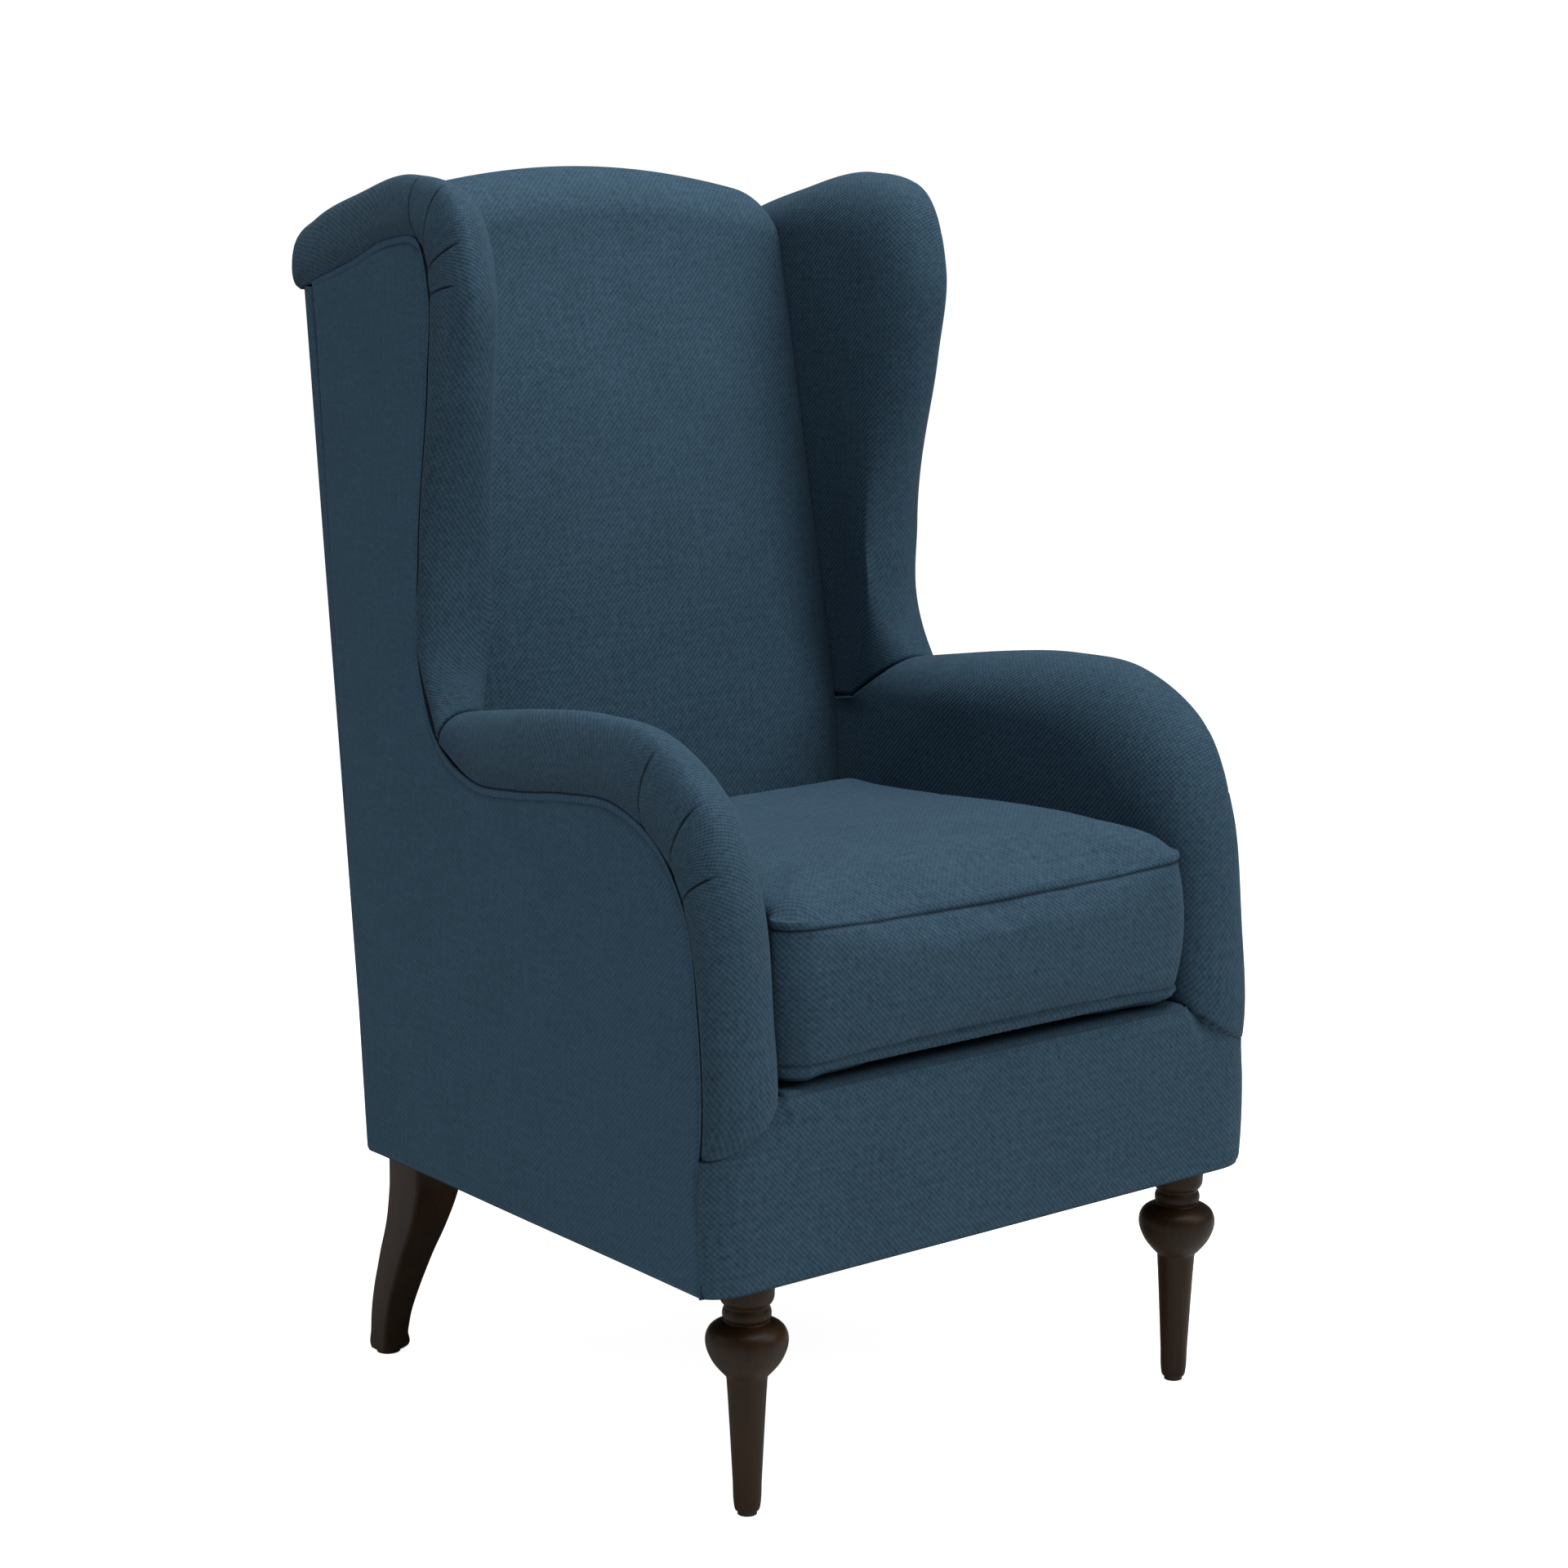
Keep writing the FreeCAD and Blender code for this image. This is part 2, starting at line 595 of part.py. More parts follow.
def make_zip():
    """A zip across the rear boxing: tape, a slider with two ears and a pin, and a pull tab on the pin."""
    tape_out = cushion_rear + 0.8
    save("zip_tape", block(-zip_half_length, zip_half_length, cushion_rear, tape_out, zip_height - 12,
                           zip_height + 12))
    place = zip_half_length - 10
    face = tape_out + 0.2
    slider = block(place - 5, place + 5, face, face + 2.2, zip_height - 5, zip_height + 5)
    pin_y, pin_z = face + 4.2, zip_height + 2.5
    ears = [block(place + x, place + x + 1, face + 2.2, face + 5.6, zip_height + 1, zip_height + 4)
            for x in (-4, 3)]
    pin = Part.makeCylinder(0.7, 6.2, Vector(place - 3.1, pin_y, pin_z), Vector(1, 0, 0))
    slider = slider.fuse(ears + [pin]).removeSplitter()
    save("zip_slider", slider)
    eye = Part.makeCylinder(1.7, 4.4, Vector(place - 2.2, pin_y, pin_z), Vector(1, 0, 0))
    tab = block(place - 2.2, place + 2.2, pin_y - 0.6, pin_y + 0.6, pin_z - pull_length, pin_z)
    hole = Part.makeCylinder(0.95, 8, Vector(place - 4, pin_y, pin_z), Vector(1, 0, 0))
    save("zip_pull", eye.fuse(tab).cut(hole).removeSplitter())


make_side_frame()
border = make_front_border()
save("front_border", border)
seam_space = border.fuse(block(-240, 240, front_face - 20, front_face + border_thickness, 250, border_top))
save_pair("arm_pad", make_arm_pad(seam_space))
save_pair("wing_pad", make_wing_pad())
make_liners()
make_side_panel()
make_base_frame()
make_dust_cover()
make_springs()
make_deck()
make_back()
make_legs()
make_cushion()
make_zip()
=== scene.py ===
import json

import bpy
import numpy as np
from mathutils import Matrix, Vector


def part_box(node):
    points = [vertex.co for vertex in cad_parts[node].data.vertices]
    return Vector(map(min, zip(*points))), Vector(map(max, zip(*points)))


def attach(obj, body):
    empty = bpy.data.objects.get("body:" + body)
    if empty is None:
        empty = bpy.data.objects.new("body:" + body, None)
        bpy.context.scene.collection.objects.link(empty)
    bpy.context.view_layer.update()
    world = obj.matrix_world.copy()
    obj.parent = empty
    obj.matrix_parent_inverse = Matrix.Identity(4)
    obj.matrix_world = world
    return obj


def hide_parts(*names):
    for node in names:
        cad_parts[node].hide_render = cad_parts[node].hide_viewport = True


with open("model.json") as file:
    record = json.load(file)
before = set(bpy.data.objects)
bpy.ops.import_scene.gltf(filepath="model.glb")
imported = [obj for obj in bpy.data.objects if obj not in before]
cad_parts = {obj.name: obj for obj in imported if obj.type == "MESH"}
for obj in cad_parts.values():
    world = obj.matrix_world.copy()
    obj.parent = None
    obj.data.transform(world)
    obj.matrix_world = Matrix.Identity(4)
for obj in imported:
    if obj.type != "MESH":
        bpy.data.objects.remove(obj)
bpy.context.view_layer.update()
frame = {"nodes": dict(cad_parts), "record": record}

# High-back wing armchair in blue hopsack. Metres, +Z up, the chair faces -Y, hand +1 is the +X side.
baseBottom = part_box("front_border")[0].z         # lower hem of the outer covers
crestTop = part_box("inside_back_pad")[1].z


# A smooth curve through key points: on each span a cubic whose end slopes are the keys' mean slopes.
def throughKeys(keys, knots, t):
    keys, knots, t = np.asarray(keys, float), np.asarray(knots, float), np.asarray(t, float)
    slope = np.gradient(keys, knots, axis=0)
    i = np.clip(np.searchsorted(knots, t, side="right") - 1, 0, len(knots) - 2)
    span = knots[i + 1] - knots[i]
    s = ((t - knots[i]) / span)[:, None]
    h = span[:, None]
    return ((2 * s**3 - 3 * s**2 + 1) * keys[i] + (s**3 - 2 * s**2 + s) * h * slope[i]
            + (3 * s**2 - 2 * s**3) * keys[i + 1] + (s**3 - s**2) * h * slope[i + 1])


# The same for one number at each key, such as a share or an angle.
def throughNumbers(numbers, knots, t):
    return throughKeys(np.array(numbers, float)[:, None], knots, t)


# Each key's share of the way along the straight lines between the keys.
def chordKnots(keys):
    step = np.linalg.norm(np.diff(np.asarray(keys, float), axis=0), axis=1)
    return np.concatenate([[0], np.cumsum(step)]) / step.sum()


# Distance run from the first point, along one direction of a grid.
def along(points, axis=0):
    step = np.linalg.norm(np.diff(points, axis=axis), axis=-1)
    pad = [(0, 0)] * step.ndim
    pad[axis] = (1, 0)
    return np.cumsum(np.pad(step, pad), axis=axis)


# 0 to 1 with level ends: 3x^2 - 2x^3.
def ease(x):
    x = np.clip(x, 0, 1)
    return x * x * (3 - 2 * x)


def bell(x, width):
    return np.exp(-(x / width) ** 2)


# Unit cross product of the two directions' slopes.
def gridNormals(points):
    across = np.cross(np.gradient(points, axis=0), np.gradient(points, axis=1))
    size = np.linalg.norm(across, axis=-1, keepdims=True)
    return across / np.maximum(size, 1e-12)


# Soft unevenness from -1 to 1: the sum of a few slow sine waves in different directions.
def ripple(a, b, seed, waves=9, low=6.0, high=26.0):
    rng = np.random.default_rng(seed)
    total = np.zeros(np.broadcast(a, b).shape)
    for _ in range(waves):
        turn, rate, start = rng.uniform(0, 2 * np.pi), rng.uniform(low, high), rng.uniform(0, 2 * np.pi)
        total += np.sin(rate * (np.cos(turn) * a + np.sin(turn) * b) + start)
    return total / waves * 1.6


# Points, four-cornered faces and one UV per face corner make a mesh, with its faces turned outwards.
def meshPiece(name, points, faces, uv, material, crease=None, inside=None):
    points, faces, uv = points.reshape(-1, 3), faces.reshape(-1, 4), uv.reshape(-1, 4, 2)
    if inside is not None:
        a, b, c = points[faces[:, 0]], points[faces[:, 1]], points[faces[:, 2]]
        away = points[faces].mean(1) - np.asarray(inside, float)
        if (np.cross(b - a, c - a) * away).sum() < 0:
            faces, uv = faces[:, ::-1], uv[:, ::-1]
    mesh = bpy.data.meshes.new(name)
    mesh.from_pydata(points.tolist(), [], faces.tolist())
    layer = mesh.uv_layers.new(name="cloth")
    layer.data.foreach_set("uv", np.ascontiguousarray(uv, np.float32).ravel())
    # per-point painted shade for seams, folds and corners, read by the cloth's colour
    if crease is not None:
        mark = mesh.attributes.new("crease", "FLOAT", "POINT")
        mark.data.foreach_set("value", np.clip(crease, 0, 1).astype(np.float32).ravel())
    mesh.polygons.foreach_set("use_smooth", np.ones(len(mesh.polygons), bool))
    mesh.materials.append(material)
    mesh.validate()
    piece = bpy.data.objects.new(name, mesh)
    bpy.context.scene.collection.objects.link(piece)
    return piece


# Corner numbers of the squares of a grid, and of its UV grid, which has one column more if it wraps.
def gridFaces(rows, columns, wrap=False):
    i, j = np.meshgrid(np.arange(rows - 1), np.arange(columns - 1 + wrap), indexing="ij")
    corners = [(i, j), (i, j + 1), (i + 1, j + 1), (i + 1, j)]
    points = np.stack([a * columns + b % columns for a, b in corners], -1)
    flat = np.stack([a * (columns + wrap) + b for a, b in corners], -1)
    return points.reshape(-1, 4), flat.reshape(-1, 4)


# A mesh from a grid of points. With wrap the last column joins the first.
def gridPiece(name, points, uv, material, wrap=False, **more):
    faces, flat = gridFaces(points.shape[0], points.shape[1], wrap)
    return meshPiece(name, points, faces, uv.reshape(-1, 2)[flat], material, **more)


# UV of a tube in metres: the distance run along it and the distance run round it.
def tubeUv(points):
    points = np.concatenate([points, points[:, :1]], 1)
    return np.stack([along(points, 0), along(points, 1)], -1)


# Gives an open skin its thickness, on its inner side.
def thicken(piece, thickness):
    wall = piece.modifiers.new("wall", "SOLIDIFY")
    wall.thickness, wall.offset, wall.use_even_offset = thickness, -1, False
    return piece


def soften(piece, levels=1):
    smooth = piece.modifiers.new("smooth", "SUBSURF")
    smooth.levels = smooth.render_levels = levels
    return piece


# Sets a number or colour on a socket, or links another socket to it.
def feed(tree, socket, value):
    if isinstance(value, (int, float)):
        socket.default_value = value
    elif isinstance(value, tuple):
        socket.default_value = (*value, 1) if socket.type == "RGBA" else value
    else:
        tree.links.new(value, socket)


def feedAll(tree, node, values):
    for key, value in values.items():
        feed(tree, node.inputs[key], value)


def addNode(tree, kind, values, **settings):
    node = tree.nodes.new("ShaderNode" + kind)
    for name, value in settings.items():
        setattr(node, name, value)
    feedAll(tree, node, values)
    return node


def newMaterial(name):
    material = bpy.data.materials.new(name)
    material.use_nodes = True
    return material, material.node_tree, material.node_tree.nodes["Principled BSDF"]


def mathNode(tree, kind, *values, clamp=False):
    return addNode(tree, "Math", dict(enumerate(values)), operation=kind, use_clamp=clamp).outputs[0]


def noiseNode(tree, vector, scale, detail=2.0, rough=0.5, output="Fac"):
    values = {"Vector": vector, "Scale": scale, "Detail": detail, "Roughness": rough}
    return addNode(tree, "TexNoise", values).outputs[output]


def stretchNode(tree, vector, scale):
    return addNode(tree, "Mapping", {"Vector": vector, "Scale": scale}).outputs["Vector"]


# Mixes two colours: sockets 6 and 7 of a Mix node, and its third output.
def mixNode(tree, factor, a, b):
    return addNode(tree, "Mix", {0: factor, 6: a, 7: b}, data_type="RGBA").outputs[2]


def bumpFrom(tree, shader, height, strength, distance):
    bump = addNode(tree, "Bump", {"Strength": strength, "Distance": distance, "Height": height})
    tree.links.new(bump.outputs["Normal"], shader.inputs["Normal"])


def coordinates(tree, name):
    return tree.nodes.new("ShaderNodeTexCoord").outputs[name]


# A node group with named sockets, a colour and a height out. Returns it with its two ends.
def makeGroup(name, inputs):
    group = bpy.data.node_groups.new(name, "ShaderNodeTree")
    for label, kind in inputs.items():
        group.interface.new_socket(label, in_out="INPUT", socket_type="NodeSocket" + kind)
    group.interface.new_socket("Color", in_out="OUTPUT", socket_type="NodeSocketColor")
    group.interface.new_socket("Height", in_out="OUTPUT", socket_type="NodeSocketFloat")
    start, end = group.nodes.new("NodeGroupInput"), group.nodes.new("NodeGroupOutput")
    return group, start.outputs, end.inputs


def useGroup(tree, group, values):
    return addNode(tree, "Group", values, node_tree=group).outputs


# shares of the ribs, flecks, yarn streaks and mottling in the cloth's colour
weave = {"wobble": 0.0016, "warpRib": 0.65, "weftRib": -0.35, "rib": 0.24, "fleck": 0.9, "yarn": 0.4,
         "mottle": 0.25, "level": 0.975, "yarnRelief": 0.35}


# Hopsack: two sets of slanting ribs, cos(u + v) and cos(u - v), with yarn streaks, flecks and slow
# mottling.
def makeWeaveGroup():
    group, start, end = makeGroup("hopsackWeave", {"Vector": "Vector", "Pitch": "Float", "Dark": "Color",
                                                   "Light": "Color", "Contrast": "Float"})
    w = weave
    wobble = noiseNode(group, start["Vector"], 90, 1, output="Color")
    shift = addNode(group, "VectorMath", {0: wobble, 1: (w["wobble"], w["wobble"], 0), 2: start["Vector"]},
                    operation="MULTIPLY_ADD").outputs[0]
    rate = mathNode(group, "DIVIDE", 1.0, start["Pitch"])
    scaled = addNode(group, "VectorMath", {0: shift, "Scale": rate}, operation="SCALE").outputs[0]
    u, v, _ = addNode(group, "SeparateXYZ", {0: scaled}).outputs
    ribs = [mathNode(group, "COSINE", mathNode(group, "MULTIPLY", mathNode(group, kind, u, v), 2 * np.pi))
            for kind in ("ADD", "SUBTRACT")]
    cross = mathNode(group, "MULTIPLY", ribs[0], w["warpRib"])
    cross = mathNode(group, "MULTIPLY_ADD", ribs[1], w["weftRib"], cross)
    fleck = noiseNode(group, scaled, 0.9, 2, 0.6)
    warp = noiseNode(group, stretchNode(group, scaled, (1.6, 0.12, 1)), 1.0)
    weft = noiseNode(group, stretchNode(group, scaled, (0.12, 1.6, 1)), 1.0)
    yarn = mathNode(group, "ADD", warp, weft)
    mottle = noiseNode(group, start["Vector"], 14, 3)
    total = mathNode(group, "MULTIPLY_ADD", cross, w["rib"], -w["level"])
    for part, share in ((fleck, "fleck"), (yarn, "yarn"), (mottle, "mottle")):
        total = mathNode(group, "MULTIPLY_ADD", part, w[share], total)
    factor = mathNode(group, "MULTIPLY_ADD", total, start["Contrast"], 0.5, clamp=True)
    height = mathNode(group, "MULTIPLY_ADD", cross, 0.5, 0.5)
    height = mathNode(group, "MULTIPLY_ADD", yarn, w["yarnRelief"], height)
    group.links.new(mixNode(group, factor, start["Dark"], start["Light"]), end["Color"])
    group.links.new(height, end["Height"])
    return group


# Wood grain along Z: noise stretched to streaks, over broad bands of a slower noise.
def makeGrainGroup():
    group, start, end = makeGroup("woodGrain", {"Vector": "Vector", "Dark": "Color", "Light": "Color",
                                                "Fineness": "Float"})
    scaled = addNode(group, "VectorMath", {0: start["Vector"], "Scale": start["Fineness"]},
                     operation="SCALE").outputs[0]
    streak = noiseNode(group, stretchNode(group, scaled, (1, 1, 0.05)), 260, 4, 0.65)
    band = noiseNode(group, stretchNode(group, scaled, (1, 1, 0.12)), 42, 3, 0.55)
    pores = noiseNode(group, stretchNode(group, scaled, (1, 1, 0.025)), 900)
    total = mathNode(group, "MULTIPLY_ADD", streak, 0.8, -0.55)
    total = mathNode(group, "MULTIPLY_ADD", band, 1.3, total, clamp=True)
    group.links.new(mixNode(group, total, start["Dark"], start["Light"]), end["Color"])
    group.links.new(mathNode(group, "ADD", streak, pores), end["Height"])
    return group


weaveGroup = makeWeaveGroup()
grainGroup = makeGrainGroup()
# the two seam entries set the strength and the darkness of the painted shade at seams and folds
clothFinish = {"rough": 0.85, "gloss": 0.15, "sheenRough": 0.45, "sheenTint": (0.62, 0.8, 1.0),
               "seamShade": 0.85, "seamShadeTone": 0.22, "relief": 0.09}    # relief as a share of the pitch


# Woven cloth. A per-point attribute of painted shade darkens the colour at seams, folds and corners, where
# shade falls, and the weave gives colour and relief.
def wovenMaterial(name, dark, light, pitch, contrast, space="UV", bump=0.6, sheen=0.06):
    f = clothFinish
    material, tree, shader = newMaterial(name)
    cloth = useGroup(tree, weaveGroup, {"Vector": coordinates(tree, space), "Pitch": pitch, "Dark": dark,
                                        "Light": light, "Contrast": contrast})
    # painted shade: the attribute mixes the weave's colour towards a dark tone of the cloth
    crease = addNode(tree, "Attribute", {}, attribute_name="crease").outputs["Fac"]
    shade = mathNode(tree, "MULTIPLY", crease, f["seamShade"])
    deep = tuple(c * f["seamShadeTone"] for c in dark)
    feedAll(tree, shader, {
        "Base Color": mixNode(tree, shade, cloth["Color"], deep), "Roughness": f["rough"],
        "Specular IOR Level": f["gloss"], "Sheen Weight": sheen, "Sheen Roughness": f["sheenRough"],
        "Sheen Tint": f["sheenTint"]})
    bumpFrom(tree, shader, cloth["Height"], bump, pitch * f["relief"])
    return material


# Grain in colour and a little in relief, with gloss that varies with the grain.
def woodMaterial(name, dark, light, fineness, rough, coat, gloss=0.5):
    material, tree, shader = newMaterial(name)
    grain = useGroup(tree, grainGroup, {"Vector": coordinates(tree, "Object"), "Dark": dark,
                                        "Light": light, "Fineness": fineness})
    feedAll(tree, shader, {
        "Base Color": grain["Color"], "Coat Weight": coat, "Coat Roughness": 0.28,
        "Specular IOR Level": gloss,
        "Roughness": mathNode(tree, "MULTIPLY_ADD", grain["Height"], 0.12, rough - 0.12)})
    bumpFrom(tree, shader, grain["Height"], 0.12, 0.0004)
    return material


# Steel, card, foam or plastic: two colours mixed by noise, with the same noise in gloss and relief.
def mottledMaterial(name, dark, light, scale, rough, metal=0.0, bump=0.15, depth=0.0004):
    material, tree, shader = newMaterial(name)
    spots = noiseNode(tree, coordinates(tree, "Object"), scale, 4, 0.6)
    feedAll(tree, shader, {
        "Base Color": mixNode(tree, spots, dark, light), "Metallic": metal,
        "Roughness": mathNode(tree, "MULTIPLY_ADD", spots, 0.25, rough - 0.12)})
    bumpFrom(tree, shader, spots, bump, depth)
    return material


zipTeeth = {"halfRow": 0.0026, "pitch": 0.0022, "gap": -0.2, "tape": (0.016, 0.028, 0.04),
            "brass": (0.5, 0.42, 0.26)}


# Tape of fine cloth with a row of metal teeth along its middle, from bands of X and of Z.
def zipMaterial(name):
    t = zipTeeth
    material, tree, shader = newMaterial(name)
    x, _, z = addNode(tree, "SeparateXYZ", {0: coordinates(tree, "Object")}).outputs
    middle = (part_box("zip_tape")[0].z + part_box("zip_tape")[1].z) / 2
    off = mathNode(tree, "ABSOLUTE", mathNode(tree, "SUBTRACT", z, middle))
    inRow = mathNode(tree, "LESS_THAN", off, t["halfRow"])
    wave = mathNode(tree, "SINE", mathNode(tree, "MULTIPLY", x, 2 * np.pi / t["pitch"]))
    tooth = mathNode(tree, "MULTIPLY", inRow, mathNode(tree, "GREATER_THAN", wave, t["gap"]))
    feedAll(tree, shader, {
        "Base Color": mixNode(tree, tooth, t["tape"], t["brass"]), "Metallic": tooth,
        "Roughness": mathNode(tree, "MULTIPLY_ADD", tooth, -0.45, 0.85)})
    bumpFrom(tree, shader, tooth, 0.6, 0.0006)
    return material


clothColours = {"dark": (0.0135, 0.034, 0.054), "light": (0.061, 0.122, 0.180), "pitch": 0.0053}
# the outer sides' cloth is the cover cloth made lighter and bluer: painted light on the outer panels, welts
# and outer back
sidePaintedLightColours = {"dark": (0.0145, 0.037, 0.062), "light": (0.066, 0.137, 0.210), "pitch": 0.0053}
walnut = {"dark": (0.0085, 0.0036, 0.0007), "light": (0.046, 0.0215, 0.0055)}
coverCloth = wovenMaterial("hopsackCover", **clothColours, contrast=0.8)
sidePaintedLightCloth = wovenMaterial("hopsackSidePaintedLight", **sidePaintedLightColours, contrast=0.52, bump=0.32)
deckCloth = wovenMaterial("deckingCloth", (0.010, 0.012, 0.016), (0.035, 0.038, 0.045), 0.0012, 0.5)
dustCloth = wovenMaterial("dustCloth", (0.006, 0.006, 0.007), (0.02, 0.02, 0.022), 0.0009, 0.4, "Object")
burlapCloth = wovenMaterial("burlap", (0.20, 0.13, 0.07), (0.48, 0.36, 0.21), 0.003, 0.9, "Object", sheen=0)
webCloth = wovenMaterial("webbing", (0.26, 0.19, 0.12), (0.56, 0.44, 0.28), 0.002, 0.9, "Object", sheen=0)
legWood = woodMaterial("darkWalnut", **walnut, fineness=1.0, rough=0.46, coat=0.03, gloss=0.22)
boardWood = woodMaterial("poplarBoard", (0.42, 0.28, 0.15), (0.66, 0.50, 0.32), 0.6, 0.7, 0.0)
springSteel = mottledMaterial("springWire", (0.24, 0.24, 0.25), (0.46, 0.46, 0.47), 300, 0.38, 1.0)
platedSteel = mottledMaterial("platedSteel", (0.40, 0.40, 0.40), (0.62, 0.62, 0.60), 400, 0.32, 1.0)
zipBrass = mottledMaterial("zipBrass", (0.36, 0.27, 0.13), (0.60, 0.48, 0.26), 900, 0.34, 1.0, depth=0.0001)
glidePlastic = mottledMaterial("glidePlastic", (0.02, 0.018, 0.016), (0.05, 0.045, 0.04), 500, 0.55)
linerCard = mottledMaterial("linerCard", (0.34, 0.24, 0.14), (0.50, 0.38, 0.25), 180, 0.85)
seatFoam = mottledMaterial("seatFoam", (0.62, 0.55, 0.38), (0.80, 0.74, 0.56), 1400, 0.9, bump=0.5,
                           depth=0.0008)
zipTape = zipMaterial("zipTape")
print("materials ready")


# Every part of the frame that stays shown gets its own finish.
def paintNodes():
    finishes = {"frame_wood": boardWood, "spring_steel": springSteel, "hardware_steel": platedSteel,
                "glide": glidePlastic, "dust_cloth": dustCloth, "burlap": burlapCloth, "webbing": webCloth,
                "liner": linerCard, "foam": seatFoam, "zip_metal": zipBrass, "zip_tape": zipTape,
                "leg_wood": legWood, "cover": coverCloth, "decking": deckCloth}
    for part in frame["record"]["subparts"]:
        mesh = frame["nodes"][part["node"]].data
        mesh.materials.clear()
        mesh.materials.append(finishes[part["material_slot"]])


paintNodes()


sideLean = {"x": 0.309, "y": -0.315, "z": 0.200, "back": 0.02, "up": 0.025}

# The side's curves as (y, z). Each welt, crown and inner point lies on one line across the roll.
armCurves = {
    "welt": [(-.310, .304), (-.312, .318), (-.307, .428), (-.283, .520), (-.253, .556), (-.186, .584),
             (-.120, .5815), (-.038, .5715), (.023, .570), (.081, .596)],
    "crown": [(-.329, .312), (-.333, .326), (-.332, .425), (-.321, .530), (-.288, .600), (-.212, .644),
              (-.133, .649), (-.035, .640), (.025, .631), (.083, .621)],
    "inner": [(-.297, .336), (-.300, .350), (-.291, .425), (-.267, .506), (-.237, .543), (-.184, .576),
              (-.128, .590), (-.033, .588), (.055, .586), (.137, .582)],
    "inside": [(-.297, .330), (-.290, .330), (-.240, .330), (-.160, .330), (-.070, .330), (.030, .330),
               (.110, .340), (.170, .380), (.190, .480), (.207, .574)],
    "crownShare": [.50, .50, .44, .34, .27, .27, .29, .33, .42, .50],
    "bulge": [0, 0, 0, 0, 0, 0, 0, 0, .002, .004],
    "clothTurn": [0, 0, 0, 15, 45, 75, 88, 90, 90, 90],
    "thickness": 0.077, "taper": 0.013, "ledge": 0.054}
wingCurves = {
    "welt": [(.081, .596), (.112, .655), (.116, .755), (.101, .915), (.100, .990), (.117, 1.029),
             (.163, 1.029), (.227, 1.0085), (.296, .989), (.312, .9855), (.315, .9845), (.318, .984)],
    "crown": [(.083, .621), (.097, .655), (.101, .746), (.063, .910), (.053, .995), (.082, 1.069),
              (.150, 1.0845), (.240, 1.069), (.318, 1.046), (.349, 1.030), (.351, 1.004), (.326, .984)],
    "inner": [(.137, .582), (.113, .660), (.108, .752), (.108, .905), (.107, .975), (.128, 1.016),
              (.168, 1.030), (.236, 1.029), (.304, 1.016), (.326, 1.008), (.330, .996), (.318, .984)],
    "inside": [(.207, .574), (.217, .650), (.231, .740), (.257, .890), (.268, .965), (.274, .985),
               (.280, .990), (.287, .990), (.295, .988), (.300, .986), (.303, .984), (.305, .980)],
    "crownShare": [.50, .66, .74, .41, .28, .26, .29, .32, .36, .42, .46, .50],
    "bulge": [.004, .007, .008, .002, 0, 0, 0, 0, 0, 0, 0, 0],
    "clothTurn": [0, 0, 0, 0, 8, 48, 84, 98, 100, 100, 100, 100],
    "thickness": 0.063, "taper": 0}
border = {"cornerX": 0.0385, "cornerY": 0.022, "sideX": 0.3085, "frontY": -0.333, "seamLow": 0.3165,
          "seamHigh": 0.3575, "seamFrom": 0.236}


# Seam under the arm's front: it falls from the deck to the outer corner as (1 - e) to the power 1.5.
def borderTop(x):
    e = np.clip((np.abs(x) - border["seamFrom"]) / (border["sideX"] - border["seamFrom"]), 0, 1)
    return border["seamLow"] + (border["seamHigh"] - border["seamLow"]) * (1 - e) ** 1.5


# Leans a side that was built square: (depth, y, z) turns about Z by atan(back), then about Y by
# -atan(up).
def onSide(points, hand):
    x = -points[..., 0]
    y, z = points[..., 1] - sideLean["y"], points[..., 2] - sideLean["z"]
    turn, tilt = np.arctan(sideLean["back"]), np.arctan(sideLean["up"])
    x, y = x * np.cos(turn) - y * np.sin(turn), x * np.sin(turn) + y * np.cos(turn)
    x, z = x * np.cos(tilt) - z * np.sin(tilt), x * np.sin(tilt) + z * np.cos(tilt)
    return np.stack([hand * (x + sideLean["x"]), y + sideLean["y"], z + sideLean["z"]], -1)


# Even steps from 0 to 1, drawn together round each dense place.
def spread(count, dense, width=0.02, gain=7.0):
    t = np.linspace(0, 1, 4000)
    run = np.cumsum(1 + gain * sum(bell(t - place, width) for place in dense))
    return np.interp(np.linspace(run[0], run[-1], count), run, t)


# Share of the curve's samples at which it passes closest to a place.
def nearest(curve, place):
    return np.argmin(np.linalg.norm(curve - np.asarray(place), axis=1)) / (len(curve) - 1)


# A roll from the welt over its crown to the inner face, and the face down to its inside edge. Across
# the roll the way is two quarter ellipses: in the side's plane W + (A - W) sin f from the welt W to the
# crown A, then I + (A - I) sin f down to the inner point I. The depth runs as 1 - cos f to the crown's
# share of the thickness, and on as -cos f. The inner face is straight lines from I to the inside edge.
def rollSurface(curves, t, rollRows, faceRows):
    knots = chordKnots(curves["crown"])
    lines = ("welt", "crown", "inner", "inside")
    welt, crown, inner, inside = (throughKeys(curves[line], knots, t)[:, None] for line in lines)
    share = throughNumbers(curves["crownShare"], knots, t)[:, None]
    bulge = throughNumbers(curves["bulge"], knots, t)[:, None]
    f = np.linspace(0, np.pi, rollRows)[None, :, None]
    outer = f < np.pi / 2
    base = np.where(outer, welt, inner)
    plane = base + (crown - base) * np.sin(f) ** 0.92
    thick = (curves["thickness"] - curves["taper"] * ease((t - 0.85) / 0.15))[:, None, None]
    toCrown = thick * share
    toInner = thick * (1 - share) + bulge
    depth = toCrown - np.where(outer, toCrown, toInner) * np.cos(f)
    roll = np.concatenate([depth, plane], -1)
    down = np.linspace(0, 1, faceRows + 1)[1:][None, :, None] * np.ones((len(t), 1, 1))
    face = np.concatenate([thick + bulge * (1 - ease(down / 0.5)), inner + (inside - inner) * down], -1)
    return np.concatenate([roll, face], 1), inner


